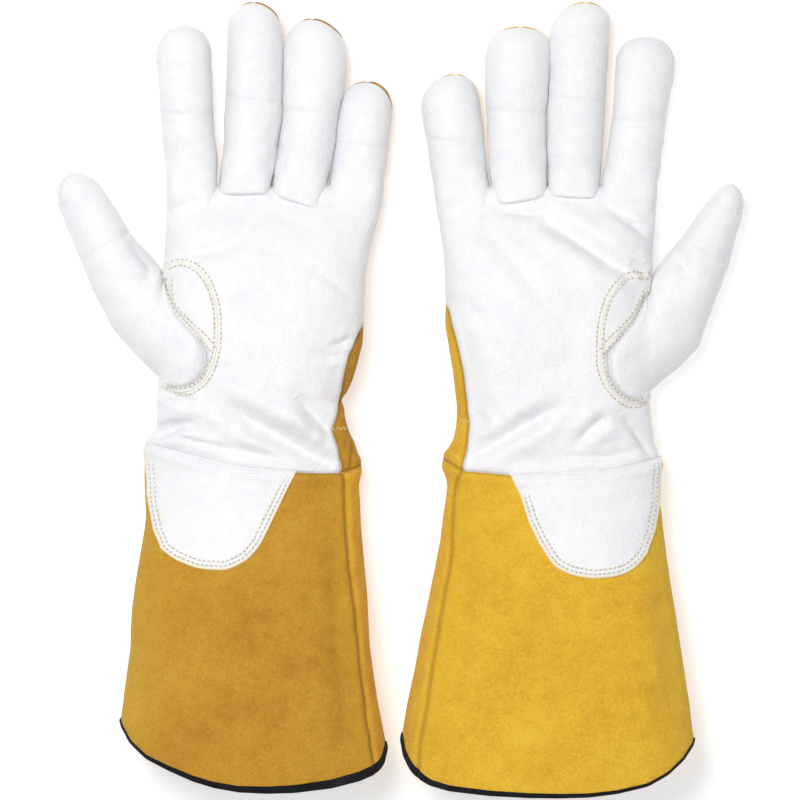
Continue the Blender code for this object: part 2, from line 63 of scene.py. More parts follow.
# ------------------------------------------------------------------ pattern
PATTERN = {
    "left": {
        "hand_left": [(184, 167), (207, 165.7), (217, 165.8), (235, 164.8),
                      (255, 163.7), (267, 162.4), (300, 160), (340, 158),
                      (378, 157.5), (393, 156.5), (407, 156.5), (418, 157.3),
                      (425, 157.2), (431, 152.5), (438, 147), (444, 144.3),
                      (465, 144.2), (487, 144.5), (514, 146), (530, 144),
                      (554, 140), (580, 135.8), (608, 132), (648, 130),
                      (693, 124), (722, 121), (800, 112)],
        "hand_right": [(184, 380), (207, 381.3), (225, 376.8), (245, 371.6),
                       (268, 366.5), (301, 364), (328, 363.3), (346, 361),
                       (367, 356.6), (380, 352), (391, 346), (401, 340),
                       (408, 342.6), (419, 345), (431, 348.5), (440, 353),
                       (456, 358), (465, 361.6), (474, 359.8), (487, 359),
                       (527, 361), (560, 364), (594, 367), (648, 369.7),
                       (701, 377.5), (742, 385.5), (800, 396)],
        "palm_seam": [(184, 379), (235, 373.5), (268, 366), (300, 363.8),
                      (322, 363.2), (336, 359), (348, 352), (362, 347),
                      (378, 344), (392, 341.5), (403, 338), (415, 335),
                      (430, 333.6), (440, 335), (451, 338), (471, 343),
                      (480, 343.2), (514, 345), (567, 349), (621, 356),
                      (675, 361), (715, 367), (760, 373.5), (800, 379)],
        "wrist_seam": [(140, 443.5), (150, 445), (175, 452), (205, 460.5),
                       (233, 467.5), (260, 470.5), (293, 472.5), (320, 473.5),
                       (343, 473), (352, 469), (364, 464)],
        "hem_mid": 788.5, "hem_side": (718.0, 744.0),
        "height": [(184, 22.0), (201, 23.6), (212, 25.4), (222, 27.8), (240, 31.5), (262, 35),
                   (300, 39), (340, 42), (400, 42), (440, 40.5), (469, 40),
                   (500, 42), (560, 48), (621, 55), (675, 60), (720, 64),
                   (800, 66)],
        "square": [(184, 4.2), (215, 3.8), (240, 3.3), (300, 2.9), (350, 2.7),
                   (400, 2.6), (440, 2.4), (800, 2.35)],
        "thumb_side": -1,
        "fingers": {
            "index": dict(
                left=[(31.5, 165), (45, 158), (54.7, 154.8), (66.3, 155.8),
                      (116, 159.9), (166, 164), (190, 165.4), (207, 165.8),
                      (240, 168)],
                right=[(30, 201), (41.5, 208.8), (58, 211.3), (99.5, 212.5),
                       (132.6, 213.2), (146, 216.0), (156, 217.9),
                       (166, 217.4), (190, 216.3), (240, 214)],
                tip=(183.5, 24.6), knuckle=115.0, round=17.0),
            "middle": dict(
                left=[(20, 228.7), (50, 227), (83, 226), (124, 224.6),
                      (157.5, 221.2), (191, 218.5), (240, 222)],
                right=[(13, 276), (26.5, 281), (40, 282.8), (66, 282.6),
                       (99.5, 281.8), (116, 282), (141, 278.5), (166, 274.8),
                       (186, 270.2), (200, 268.5), (240, 264)],
                tip=(253, 1.0), knuckle=101.0, round=18.0,
                base=[(214, 192.5), (240, 193.5), (258, 192.8), (270, 195)]),
            "ring": dict(
                left=[(31.5, 289), (40, 284.4), (66, 283.2), (116, 283.0),
                      (149, 277.8), (179, 272.9), (200, 271.5), (240, 274)],
                right=[(32, 339), (45, 345), (58, 346.8), (80, 345),
                       (103, 340), (124, 337), (149, 334), (174, 328.8),
                       (196, 323.4), (240, 318)],
                tip=(312, 17.6), knuckle=113.0, round=18.0,
                base=[(268, 190), (278, 195.5), (289, 199.5), (305, 204.5),
                      (326, 211)]),
            "little": dict(
                left=[(85, 350.6), (90, 345), (108, 339.4), (124, 338),
                      (149, 335.7), (174, 330.7), (199, 326.2), (240, 324)],
                right=[(90, 387), (101, 391.5), (109, 392.4), (149, 388.7),
                       (182, 383.9), (207, 381.4), (240, 372)],
                tip=(369, 80.6), knuckle=146.0, round=17.0)},
        # thumb stations: inner (u, v), outer (u, v), height mm, share lobe
        "thumb": [((207.2, 362), (206.6, 366), 36, 1.0),
                  ((206, 352), (203.5, 374), 36, 1.0),
                  ((202, 342.5), (198, 381.5), 36, 1.0),
                  ((194.5, 333), (190, 386), 36, 1.0),
                  ((184, 322.5), (180, 388), 36, 1.0),
                  ((174.5, 311), (169.5, 386), 36, 0.9),
                  ((168.3, 297), (160.5, 380.5), 36, 0.6),
                  ((164.5, 282), (148, 367), 35, 0.25),
                  ((161, 268), (128, 346), 34, 0.0),
                  ((150.5, 255.5), (109, 325), 32, 0.0),
                  ((140, 244.5), (92.5, 290), 30.5, 0.0),
                  ((130, 232), (81, 262), 29, 0.0),
                  ((119.5, 214.5), (71.5, 239), 28, 0.0),
                  ((109, 198.5), (62.5, 217.5), 26.5, 0.0),
                  ((99, 184.5), (56.2, 203), 24.5, 0.0),
                  ((91.5, 177.3), (55.1, 192.5), 21.5, 0.0),
                  ((84, 173.2), (57.6, 183), 17, 0.0),
                  ((77.5, 171.9), (62.5, 176.8), 11, 0.0),
                  ((71.5, 172.6), (68.0, 173.6), 4, 0.0)],
        "thumb_root": (170.0, 141.0), "thumb_joint": ((130, 232), (81, 262)),
        "thumb_split": 10,
        "gusset_edge": [(167, 268), (172, 264.5), (181, 262.7), (190, 264.5),
                        (199, 270.5), (207, 280), (212.5, 292), (216, 305),
                        (217.6, 318), (217.8, 332), (217, 347), (214.5, 360),
                        (210, 373), (203, 383), (192.5, 390.3), (182, 392.4),
                        (172.5, 390), (163, 385.5)],
        "gusset_left": [(262, 182), (268, 172), (280, 170), (297, 172.5),
                        (311, 181), (322, 194), (333, 206), (341, 213),
                        (346, 216.5)],
        "thumb_seam": [(171.5, 276), (170.4, 288), (171.4, 297), (174, 305.5),
                       (178.5, 312), (187.5, 322.0), (195.8, 329.6),
                       (203.7, 337), (209.5, 343.5), (213.6, 349.5)],
        "patch_left": [(443, 146.4), (460, 146.2), (474, 147), (492, 147.6),
                       (509, 149.3), (530, 154), (549, 162), (556.5, 171.5),
                       (560, 177.5), (564, 186.5), (567.5, 196), (569.3, 209),
                       (570, 222)],
        "patch_right": [(443, 296), (474, 292.6), (487, 288), (509, 277.6),
                        (535, 265), (547, 258.5), (555, 252), (560, 246.5),
                        (564, 240), (567.5, 233), (569.3, 227.5),
                        (570, 224)],
        "patch_bottom": 570.0,
        "creases": [
            ([(172, 257), (195, 254), (223, 249), (240, 241), (254, 219)], 1.5, 9.0),
            ([(172, 209), (186, 203), (202, 197), (216, 190)], 1.0, 3.2),
            ([(221, 401), (246, 417), (274, 434), (306, 452), (338, 469)], 3.4, 10.0),
            ([(296, 395), (315, 416), (333, 437)], 2.4, 8.0),
            ([(142, 440), (166, 430), (196, 421)], 2.4, 6.0),
            ([(156, 388), (170, 394), (190, 400)], 1.8, 5.0),
            ([(228, 446), (262, 455), (300, 464)], 1.2, 6.0),
            ([(328, 347), (341, 344), (354, 337)], 0.9, 4.0),
            ([(314, 352), (330, 357), (347, 352)], 0.6, 4.5),
            ([(262, 214), (290, 220), (322, 232)], 0.4, 9.0),
            ([(300, 262), (330, 280), (352, 300)], 0.5, 4.5),
            ([(238, 300), (262, 330), (280, 372)], 0.4, 7.0),
            ([(160, 432), (190, 440), (230, 449)], 0.6, 3.0),
            ([(350, 470), (352, 440), (343, 410)], 1.2, 2.4),
            ([(342, 395), (352, 402), (360, 404)], 1.4, 2.4),
        ],
        "mounds": [((250, 275), (55, 45), 1.6), ((195, 228), (22, 16), 1.1),
                   ((300, 330), (40, 55), 1.2), ((205, 425), (40, 24), 1.6),
                   ((290, 415), (20, 14), 1.5), ((240, 330), (16, 40), -0.9),
                   ((330, 250), (24, 30), 0.8)],
        "cuff_folds": [
            ([(152, 560), (142, 640), (140, 716)], 1.6, 9.0),
            ([(330, 520), (338, 640), (350, 740)], 1.0, 8.0),
            ([(300, 500), (240, 520), (200, 585)], 0.0, 8.0),
            ([(220, 600), (235, 690), (238, 770)], 0.8, 16.0),
            ([(148, 500), (147, 530), (141, 560)], 1.0, 5.0)],
        "elastic": 429.0,
    },
    "right": {
        "hand_left": [(184, 437), (207, 436), (225, 439.4), (242, 442),
                      (260, 444.4), (275, 445.3), (304, 445.6), (316, 446),
                      (329, 447), (357, 451), (385, 455), (404, 457),
                      (413, 457), (428, 456), (440, 453), (448, 448),
                      (457, 443.2), (463, 442), (470, 443.5), (478, 446),
                      (486, 447.8), (494, 447), (541, 440), (568, 434.6),
                      (594, 429.5), (634, 421), (669, 415), (701, 408),
                      (736, 402), (800, 391)],
        "hand_right": [(184, 656), (207, 656.6), (225, 655.6), (242, 654.4),
                       (262, 653.2), (300, 652), (350, 650.5), (391, 649.4),
                       (410, 650.5), (425, 652.5), (440, 654.5), (450, 656.4),
                       (460, 661), (466, 663), (476, 661), (500, 660),
                       (541, 665), (581, 670.5), (634, 679), (688, 687),
                       (740, 694), (800, 702)],
        "palm_seam": [(184, 438.5), (235, 441), (262, 444.6), (300, 446),
                      (310, 447.8), (326, 452.5), (350, 458), (364, 461.5),
                      (378, 464), (406, 467), (431, 468.6), (445, 467.5),
                      (459, 464.5), (472, 462.5), (487, 455.5), (500, 453.6),
                      (527, 452), (567, 449), (600, 443), (648, 435),
                      (701, 427), (742, 420), (774, 418.5), (800, 417)],
        "wrist_seam": [(438, 457), (450, 463), (463, 471), (490, 473.5),
                       (516, 475.8), (540, 475.4), (561, 474), (590, 472.5),
                       (614, 470.5), (636, 465.5), (652, 460), (664, 456)],
        "hem_mid": 794.0, "hem_side": (735.0, 739.0),
        "height": [(184, 22.0), (201, 23.6), (212, 25.4), (222, 27.8), (240, 31.5), (262, 35),
                   (300, 39), (340, 42), (400, 42), (440, 40.5), (469, 40),
                   (500, 42), (541, 46), (581, 51), (634, 57), (688, 62),
                   (730, 65), (800, 66.5)],
        "square": [(184, 4.2), (215, 3.8), (240, 3.3), (300, 2.9), (350, 2.7),
                   (400, 2.6), (440, 2.4), (800, 2.35)],
        "thumb_side": 1,
        "fingers": {
            "index": dict(
                left=[(40, 627), (48, 620.4), (57, 617.2), (77.5, 615.6),
                      (112, 613), (146, 609), (172, 604), (190, 601.2),
                      (205, 600.6), (240, 604)],
                right=[(41, 666), (50, 672), (65, 676.4), (74, 675),
                       (95, 671), (129, 666), (164, 661), (190, 658.4),
                       (207, 657), (240, 652)],
                tip=(648, 35.6), knuckle=123.0, round=15.0),
            "middle": dict(
                left=[(12, 559.5), (22, 552.5), (33, 549.8), (60, 550.6),
                      (95, 549.1), (129, 547.8), (189, 548.4), (240, 552)],
                right=[(14, 609), (26, 611), (52, 609), (86, 607),
                       (120.5, 605), (155, 602.5), (190, 600), (240, 596)],
                tip=(587, 1.2), knuckle=101.0, round=18.0,
                base=[(545, 193.5), (556, 195), (566, 196.2), (582, 197.2),
                      (604, 197.6)]),
            "ring": dict(
                left=[(33, 496), (43, 488.4), (57, 485.5), (77.5, 485.4),
                      (112, 487), (146, 488.1), (172, 489.2), (202, 494),
                      (240, 498)],
                right=[(34, 545.6), (43, 550.2), (55, 551.4), (86, 548.6),
                       (112, 546.7), (138, 546.6), (172, 547.2),
                       (195, 547.2), (240, 543)],
                tip=(521, 25.6), knuckle=113.0, round=18.0,
                base=[(490, 203.4), (503, 202.8), (515, 201.5), (531, 198.7),
                      (549, 195)]),
            "little": dict(
                left=[(84, 430), (96, 423.2), (107, 422), (129, 425),
                      (164, 430), (190, 433.8), (207, 436), (240, 442)],
                right=[(77.5, 468), (86, 476), (100, 479), (117, 481),
                       (141, 484), (164, 486.2), (190, 490.2), (205, 492),
                       (240, 490)],
                tip=(455.5, 73.4), knuckle=142.0, round=16.0)},
        "thumb": [((607.8, 360), (608.2, 364), 36, 1.0),
                  ((607.5, 353.5), (609.5, 377.5), 36, 1.0),
                  ((610.5, 350), (615, 387.5), 36, 1.0),
                  ((616, 342.5), (622.5, 395.3), 36, 1.0),
                  ((624, 333), (631.5, 399.8), 36, 1.0),
                  ((633.5, 323), (640, 399.8), 36, 0.9),
                  ((641, 310), (649, 392.5), 36, 0.6),
                  ((646, 296), (663, 381), 35, 0.25),
                  ((650.5, 280), (681, 366.5), 34, 0.0),
                  ((660.5, 262.5), (699.5, 347), 32, 0.0),
                  ((671.5, 249.5), (715, 303), 30.5, 0.0),
                  ((684, 235), (730, 265), 29, 0.0),
                  ((695.5, 217.5), (737.5, 237), 28, 0.0),
                  ((706.5, 203), (743.4, 218.5), 26.5, 0.0),
                  ((716, 191.8), (744.9, 204), 24, 0.0),
                  ((722, 186.4), (743.4, 195.5), 20, 0.0),
                  ((727, 183.6), (740.8, 189.2), 14, 0.0),
                  ((731.5, 182.9), (736.4, 184.6), 7, 0.0),
                  ((733.4, 183.1), (734.4, 183.5), 3, 0.0)],
        "thumb_root": (644.0, 673.0), "thumb_joint": ((684, 235), (730, 263)),
        "thumb_split": 10,
        "gusset_edge": [(652, 277), (647, 275.8), (633, 274.8), (625, 277),
                        (616.5, 285.5), (608.5, 297.5), (604, 311),
                        (601, 324.5), (599.8, 337), (599.6, 352),
                        (600, 364.5), (602, 374), (606.8, 385),
                        (613.5, 393.5), (622, 401), (631.5, 404.5),
                        (641, 402.8), (651, 397)],
        "gusset_left": [(274, 634), (282, 643), (292, 645), (304, 641.5),
                        (318, 633), (330, 620), (341, 608), (349, 601)],
        "thumb_seam": [(645.5, 288), (643.5, 297), (638.5, 308), (632, 318.5),
                       (624.5, 326.5), (616.5, 334), (608.5, 342),
                       (602.5, 349.5), (600.2, 353.5)],
        "patch_left": [(455, 510), (476, 516.5), (495, 520.5), (522, 529),
                       (543, 539), (556, 547), (565, 553.5), (570, 561),
                       (574, 570.5), (576.5, 579.5), (577.8, 588),
                       (578.2, 594)],
        "patch_right": [(455, 660.5), (462, 659.5), (479, 658.8), (500, 658.6),
                        (530, 654.5), (554, 646), (563, 639), (569, 632.5),
                        (573.5, 624), (576.5, 613.5), (577.8, 602),
                        (578.2, 597)],
        "patch_bottom": 578.2,
        "creases": [
            ([(538, 217), (560, 228), (585, 244), (608, 261), (640, 279)], 3.0, 9.0),
            ([(606, 205), (626, 219), (642, 232), (654, 243)], 1.4, 6.0),
            ([(477, 223), (505, 252), (532, 284), (559, 319)], 0.8, 9.0),
            ([(472, 457), (500, 440), (530, 422), (560, 405)], 2.6, 8.0),
            ([(578, 441), (592, 428), (608, 415)], 1.7, 6.0),
            ([(622, 414), (640, 436), (656, 460)], 2.2, 6.0),
            ([(648, 276), (641, 268), (630, 261)], 1.6, 5.0),
            ([(500, 212), (530, 214), (556, 209)], 0.7, 4.0),
            ([(466, 300), (490, 330), (505, 372)], 0.4, 6.0),
            ([(640, 404), (652, 402), (662, 397)], 1.2, 3.0),
            ([(560, 455), (600, 458), (640, 450)], 0.5, 4.0),
            ([(446, 452), (458, 430), (460, 408)], 1.2, 2.4),
        ],
        "mounds": [((620, 235), (26, 22), 1.8), ((560, 290), (50, 45), 1.2),
                   ((500, 330), (34, 60), 1.2), ((590, 425), (40, 20), 1.2),
                   ((520, 440), (34, 16), 1.2), ((575, 335), (14, 40), -0.8),
                   ((465, 260), (20, 30), 0.8)],
        "cuff_folds": [
            ([(655, 560), (668, 640), (676, 730)], 1.6, 9.0),
            ([(470, 520), (462, 640), (450, 750)], 1.0, 8.0),
            ([(560, 600), (556, 690), (552, 780)], 0.8, 16.0),
            ([(612, 590), (628, 660), (640, 730)], 0.6, 10.0)],
        "elastic": 421.0,
    },
}
LEATHER = 1.5 * MM


# ------------------------------------------------------------ small helpers
def gauss1(values, sigma):
    if sigma <= 0:
        return values
    r = int(sigma * 3) + 1
    k = np.exp(-0.5 * (np.arange(-r, r + 1) / sigma) ** 2)
    k /= k.sum()
    # mirror about the end values, so that ends keep their value and slope
    a = 2 * values[0] - values[r:0:-1]
    b = 2 * values[-1] - values[-2:-r - 2:-1]
    return np.convolve(np.concatenate([a, values, b]), k, "valid")


class Line:
    """A smooth function through a table of (v, value)."""

    def __init__(self, table, sigma=3.0, step=0.5):
        t = np.array(sorted(table), float)
        self.v = np.arange(t[0, 0], t[-1, 0] + step, step)
        self.y = gauss1(np.interp(self.v, t[:, 0], t[:, 1]), sigma / step)

    def __call__(self, v):
        return np.interp(v, self.v, self.y)


def smooth_path(points, step=1.0, sigma=3.0):
    """Evenly spaced points along a smoothed polyline of pattern points."""
    p = np.array(points, float)
    d = np.concatenate([[0], np.cumsum(np.linalg.norm(np.diff(p, axis=0), axis=1))])
    s = np.linspace(0, d[-1], max(4, int(d[-1] / step)))
    out = np.stack([np.interp(s, d, p[:, i]) for i in range(p.shape[1])], 1)
    sig = sigma / (s[1] - s[0])
    if len(s) > 3 * sig + 4:
        out = np.stack([gauss1(out[:, i], sig) for i in range(p.shape[1])], 1)
    return out


def path_distance(u, v, path):
    """Distance in pattern units from each point to a path, and how far along
    the path (0 to 1) the nearest place is."""
    u, v = np.ravel(u), np.ravel(v)
    best = np.full(u.shape, 1e9)
    along = np.zeros(u.shape)
    n = len(path) - 1
    for i in range(n):
        a, b = path[i], path[i + 1]
        d = b - a
        ll = max(1e-9, float(d @ d))
        t = np.clip(((u - a[0]) * d[0] + (v - a[1]) * d[1]) / ll, 0, 1)
        dist = np.hypot(u - a[0] - t * d[0], v - a[1] - t * d[1])
        near = dist < best
        best = np.where(near, dist, best)
        along = np.where(near, (i + t) / n, along)
    return best, along


def side_of(u, v, path):
    """Signed side of the nearest stretch of a path."""
    u, v = np.ravel(u), np.ravel(v)
    best = np.full(u.shape, 1e9)
    side = np.zeros(u.shape)
    for i in range(len(path) - 1):
        a, b = path[i], path[i + 1]
        d = b - a
        t = np.clip(((u - a[0]) * d[0] + (v - a[1]) * d[1]) / max(1e-9, float(d @ d)), 0, 1)
        dist = np.hypot(u - a[0] - t * d[0], v - a[1] - t * d[1])
        cross = d[0] * (v - a[1]) - d[1] * (u - a[0])
        near = dist < best
        best = np.where(near, dist, best)
        side = np.where(near, np.sign(cross), side)
    return side


WAVES = np.random.default_rng(7)
_DIRS = WAVES.normal(size=(48, 3))
_PH = WAVES.uniform(0, 2 * math.pi, size=(48,))


def ripple(p, wavelength, seed=0, octaves=2):
    """Soft, seeded unevenness in -1..1 at a wavelength in metres."""
    out = np.zeros(p.shape[:-1])
    amp = 1.0
    total = 0.0
    for o in range(octaves):
        for k in range(6):
            i = (seed * 7 + o * 6 + k) % 48
            d = _DIRS[i] / np.linalg.norm(_DIRS[i])
            f = 2 * math.pi / (wavelength / (1.9 ** o)) * (0.7 + 0.12 * k)
            out += amp * np.sin(p @ d * f + _PH[i] + seed)
        total += amp * 2.6
        amp *= 0.5
    return np.clip(out / total, -1, 1)


def normals_of(P, closed=False, flip=False):
    """Vertex normals of a grid of points, rows by columns."""
    if closed:
        du = np.roll(P, -1, 1) - np.roll(P, 1, 1)
    else:
        du = np.empty_like(P)
        du[:, 1:-1] = P[:, 2:] - P[:, :-2]
        du[:, 0] = P[:, 1] - P[:, 0]
        du[:, -1] = P[:, -1] - P[:, -2]
    dv = np.empty_like(P)
    dv[1:-1] = P[2:] - P[:-2]
    dv[0] = P[1] - P[0]
    dv[-1] = P[-1] - P[-2]
    n = np.cross(du, dv)
    ln = np.linalg.norm(n, axis=-1, keepdims=True)
    n = n / np.maximum(ln, 1e-12)
    return -n if flip else n


def make_mesh(name, verts, faces, material, normals=None, attrs=None, smooth=True):
    """verts (n, 3), faces: list of (m, k) integer arrays."""
    me = bpy.data.meshes.new(name)
    verts = np.asarray(verts, np.float32)
    me.vertices.add(len(verts))
    me.vertices.foreach_set("co", verts.ravel())
    loops = np.concatenate([f.ravel() for f in faces]).astype(np.int32)
    counts = np.concatenate([np.full(len(f), f.shape[1]) for f in faces]).astype(np.int32)
    me.loops.add(len(loops))
    me.loops.foreach_set("vertex_index", loops)
    me.polygons.add(len(counts))
    starts = np.concatenate([[0], np.cumsum(counts)[:-1]]).astype(np.int32)
    me.polygons.foreach_set("loop_start", starts)
    me.polygons.foreach_set("loop_total", counts)
    me.polygons.foreach_set("use_smooth", np.full(len(counts), smooth))
    for key, values in (attrs or {}).items():
        a = me.attributes.new(key, "FLOAT", "POINT")
        a.data.foreach_set("value", np.asarray(values, np.float32).ravel())
    me.update(calc_edges=True)
    me.validate()
    if normals is not None:
        me.normals_split_custom_set_from_vertices(np.asarray(normals, np.float32).reshape(-1, 3))
    ob = bpy.data.objects.new(name, me)
    ob.data.materials.append(material)
    bpy.context.scene.collection.objects.link(ob)
    return ob


def grid_faces(rows, cols, closed=False, flip=False, start=0):
    r = np.arange(rows - 1)[:, None]
    c = np.arange(cols if closed else cols - 1)[None, :]
    c2 = (c + 1) % cols
    a = start + r * cols + c
    b = start + r * cols + c2
    d = start + (r + 1) * cols + c2
    e = start + (r + 1) * cols + c
    f = np.stack([a, b, d, e], -1).reshape(-1, 4)
    return f[:, ::-1] if flip else f


def sheet(name, P, N, material, closed=False, flip=False, thick=0.0, attrs=None):
    """A piece of leather from a grid of outer points P and normals N: with
    thick it has an inner face and closed edges too."""
    rows, cols = P.shape[:2]
    n = rows * cols
    outer = grid_faces(rows, cols, closed, flip)
    verts, norms, faces = [P.reshape(-1, 3)], [N.reshape(-1, 3)], [outer]
    at = {k: [np.ravel(v)] for k, v in (attrs or {}).items()}
    if thick > 0:
        Q = (P - N * thick).reshape(-1, 3)
        verts.append(Q)
        norms.append(-N.reshape(-1, 3))
        faces.append(grid_faces(rows, cols, closed, not flip, n))
        idx = np.arange(n).reshape(rows, cols)
        edges = []
        if not closed:
            edges += [idx[:, 0][::-1], idx[:, -1]]
            edges += [idx[0, :], idx[-1, :][::-1]]
        else:
            edges += [np.append(idx[0, :], idx[0, 0]),
                      np.append(idx[-1, :], idx[-1, 0])[::-1]]
        for e in edges:
            f = np.stack([e[:-1], e[1:], e[1:] + n, e[:-1] + n], -1)
            faces.append(f if flip else f[:, ::-1])
        for k in at:
            at[k].append(at[k][0])
    return make_mesh(name, np.concatenate(verts), faces, material,
                     np.concatenate(norms),
                     {k: np.concatenate(v) for k, v in at.items()})


# ---------------------------------------------------------------- materials
def nodes_of(name):
    mat = bpy.data.materials.new(name)
    mat.use_nodes = True
    nt = mat.node_tree
    bsdf = nt.nodes["Principled BSDF"]
    return mat, nt, bsdf


def add(nt, kind, **values):
    node = nt.nodes.new(kind)
    for key, value in values.items():
        if key.startswith("in_"):
            node.inputs[key[3:].replace("_", " ")].default_value = value
        else:
            setattr(node, key, value)
    return node


def noise(nt, vector, scale, detail=3.0, rough=0.55, distort=0.0):
    n = add(nt, "ShaderNodeTexNoise")
    n.inputs["Scale"].default_value = scale
    n.inputs["Detail"].default_value = detail
    n.inputs["Roughness"].default_value = rough
    n.inputs["Distortion"].default_value = distort
    nt.links.new(vector, n.inputs["Vector"])
    return n.outputs["Fac"]


def cells(nt, vector, scale, feature="F1", randomness=1.0):
    n = add(nt, "ShaderNodeTexVoronoi", feature=feature)
    n.inputs["Scale"].default_value = scale
    n.inputs["Randomness"].default_value = randomness
    nt.links.new(vector, n.inputs["Vector"])
    return n.outputs["Distance"]


def ramp(nt, value, stops, interp="LINEAR"):
    n = add(nt, "ShaderNodeValToRGB")
    n.color_ramp.interpolation = interp
    el = n.color_ramp.elements
    while len(el) > 1:
        el.remove(el[-1])
    el[0].position = stops[0][0]
    el[0].color = (*stops[0][1], 1)
    for pos, col in stops[1:]:
        e = el.new(pos)
        e.color = (*col, 1)
    nt.links.new(value, n.inputs["Fac"])
    return n.outputs["Color"]


def spread(nt, value, lo, hi, out_lo, out_hi):
    n = add(nt, "ShaderNodeMapRange", clamp=True)
    for key, val in (("From Min", lo), ("From Max", hi), ("To Min", out_lo), ("To Max", out_hi)):
        n.inputs[key].default_value = val
    nt.links.new(value, n.inputs["Value"])
    return n.outputs["Result"]


def mix(nt, kind, factor, a, b):
    n = add(nt, "ShaderNodeMix", data_type="RGBA", blend_type=kind)
    for socket, val in ((n.inputs[0], factor), (n.inputs[6], a), (n.inputs[7], b)):
        if isinstance(val, (int, float)):
            socket.default_value = val
        elif isinstance(val, tuple):
            socket.default_value = (*val, 1)
        else:
            nt.links.new(val, socket)
    return n.outputs[2]


def math_node(nt, op, a, b=0.0):
    n = add(nt, "ShaderNodeMath", operation=op)
    for socket, val in ((n.inputs[0], a), (n.inputs[1], b)):
        if isinstance(val, (int, float)):
            socket.default_value = val
        else:
            nt.links.new(val, socket)
    return n.outputs[0]


def bump(nt, height, distance, strength=1.0, under=None):
    n = add(nt, "ShaderNodeBump")
    n.inputs["Distance"].default_value = distance
    n.inputs["Strength"].default_value = strength
    nt.links.new(height, n.inputs["Height"])
    if under is not None:
        nt.links.new(under, n.inputs["Normal"])
    return n.outputs["Normal"]


def coords(nt):
    return add(nt, "ShaderNodeTexCoord").outputs["Object"]


def attribute(nt, name):
    return add(nt, "ShaderNodeAttribute", attribute_name=name).outputs["Fac"]


def srgb(r, g, b):
    def lin(c):
        c /= 255.0
        return c / 12.92 if c <= 0.04045 else ((c + 0.055) / 1.055) ** 2.4
    return (lin(r), lin(g), lin(b))


def goatskin(name, light, dark):
    """Smooth grain leather: fine pebble, small wrinkles, slight colour."""
    mat, nt, b = nodes_of(name)
    co = coords(nt)
    big = noise(nt, co, 38.0, 4.0, 0.6)
    mid = noise(nt, co, 210.0, 3.0, 0.6)
    pebble = cells(nt, co, 1250.0, "SMOOTH_F1")
    fine = noise(nt, co, 2600.0, 2.0, 0.5)
    lines = cells(nt, co, 330.0, "DISTANCE_TO_EDGE")
    blend = math_node(nt, "ADD", math_node(nt, "MULTIPLY", big, 0.6), math_node(nt, "MULTIPLY", mid, 0.4))
    col = ramp(nt, blend, [(0.30, dark), (0.52, light), (0.75, tuple(min(1.0, c * 1.03) for c in light))])
    pores = spread(nt, pebble, 0.15, 0.65, 1.0, 0.93)
    grey = add(nt, "ShaderNodeCombineColor")
    for i in range(3):
        nt.links.new(pores, grey.inputs[i])
    col = mix(nt, "MULTIPLY", 0.55, col, grey.outputs[0])
    edge = attribute(nt, "edge")
    col = mix(nt, "MIX", edge, col, srgb(236, 218, 178))
    # painted shade: cool grey mixed in by the seam shade attribute along seams, sewn edges and the thumb lobe's
    # rim
    seam = attribute(nt, "seam")
    col = mix(nt, "MIX", math_node(nt, "MULTIPLY", seam, 0.62), col, srgb(156, 157, 162))
    nt.links.new(col, b.inputs["Base Color"])
    rough = spread(nt, blend, 0.3, 0.7, 0.60, 0.48)
    nt.links.new(rough, b.inputs["Roughness"])
    b.inputs["Sheen Weight"].default_value = 0.12
    b.inputs["Sheen Roughness"].default_value = 0.5
    b.inputs["Specular IOR Level"].default_value = 0.35
    n1 = bump(nt, spread(nt, lines, 0.0, 0.25, 0.0, 1.0), 0.00016, 0.5)
    n2 = bump(nt, pebble, 0.00022, 0.5, n1)
    n3 = bump(nt, mid, 0.0008, 0.22, n2)
    n4 = bump(nt, fine, 0.00008, 0.6, n3)
    nt.links.new(n4, b.inputs["Normal"])
    return mat


def suede(name, light, base, dark, bright=1.0):
    """Split leather: mottled nap, fibres, worn paler patches."""
    mat, nt, b = nodes_of(name)
    co = coords(nt)
    big = noise(nt, co, 26.0, 5.0, 0.62, 0.4)
    mid = noise(nt, co, 130.0, 5.0, 0.65, 0.3)
    nap = noise(nt, co, 640.0, 4.0, 0.7, 0.6)
    fibre = noise(nt, co, 1500.0, 3.0, 0.65, 1.2)
    m = math_node(nt, "ADD", math_node(nt, "MULTIPLY", big, 0.40), math_node(nt, "MULTIPLY", mid, 0.28))
    m = math_node(nt, "ADD", m, math_node(nt, "MULTIPLY", nap, 0.32))
    col = ramp(nt, m, [(0.36, dark), (0.50, base), (0.64, light)])
    speck = spread(nt, fibre, 0.32, 0.68, 0.80, 1.16)
    grey = add(nt, "ShaderNodeCombineColor")
    for i in range(3):
        nt.links.new(speck, grey.inputs[i])
    col = mix(nt, "MULTIPLY", 0.9, col, grey.outputs[0])
    # painted shade: dark brown mixed in by the seam shade attribute along seams, sewn edges and the side welt
    seam = attribute(nt, "seam")
    col = mix(nt, "MIX", math_node(nt, "MULTIPLY", seam, 0.60), col, srgb(118, 84, 30))
    edge = attribute(nt, "edge")
    col = mix(nt, "MIX", math_node(nt, "MULTIPLY", edge, 0.6), col, srgb(214, 174, 42))
    nt.links.new(col, b.inputs["Base Color"])
    nt.links.new(spread(nt, nap, 0.3, 0.7, 0.97, 0.84), b.inputs["Roughness"])
    b.inputs["Specular IOR Level"].default_value = 0.15
    b.inputs["Sheen Weight"].default_value = 0.14
    b.inputs["Sheen Roughness"].default_value = 0.6
    b.inputs["Sheen Tint"].default_value = (1.0, 0.86, 0.55, 1)
    n1 = bump(nt, mid, 0.0014, 0.6)
    n2 = bump(nt, nap, 0.0006, 0.8, n1)
    n3 = bump(nt, fibre, 0.0003, 0.9, n2)
    nt.links.new(n3, b.inputs["Normal"])
    return mat


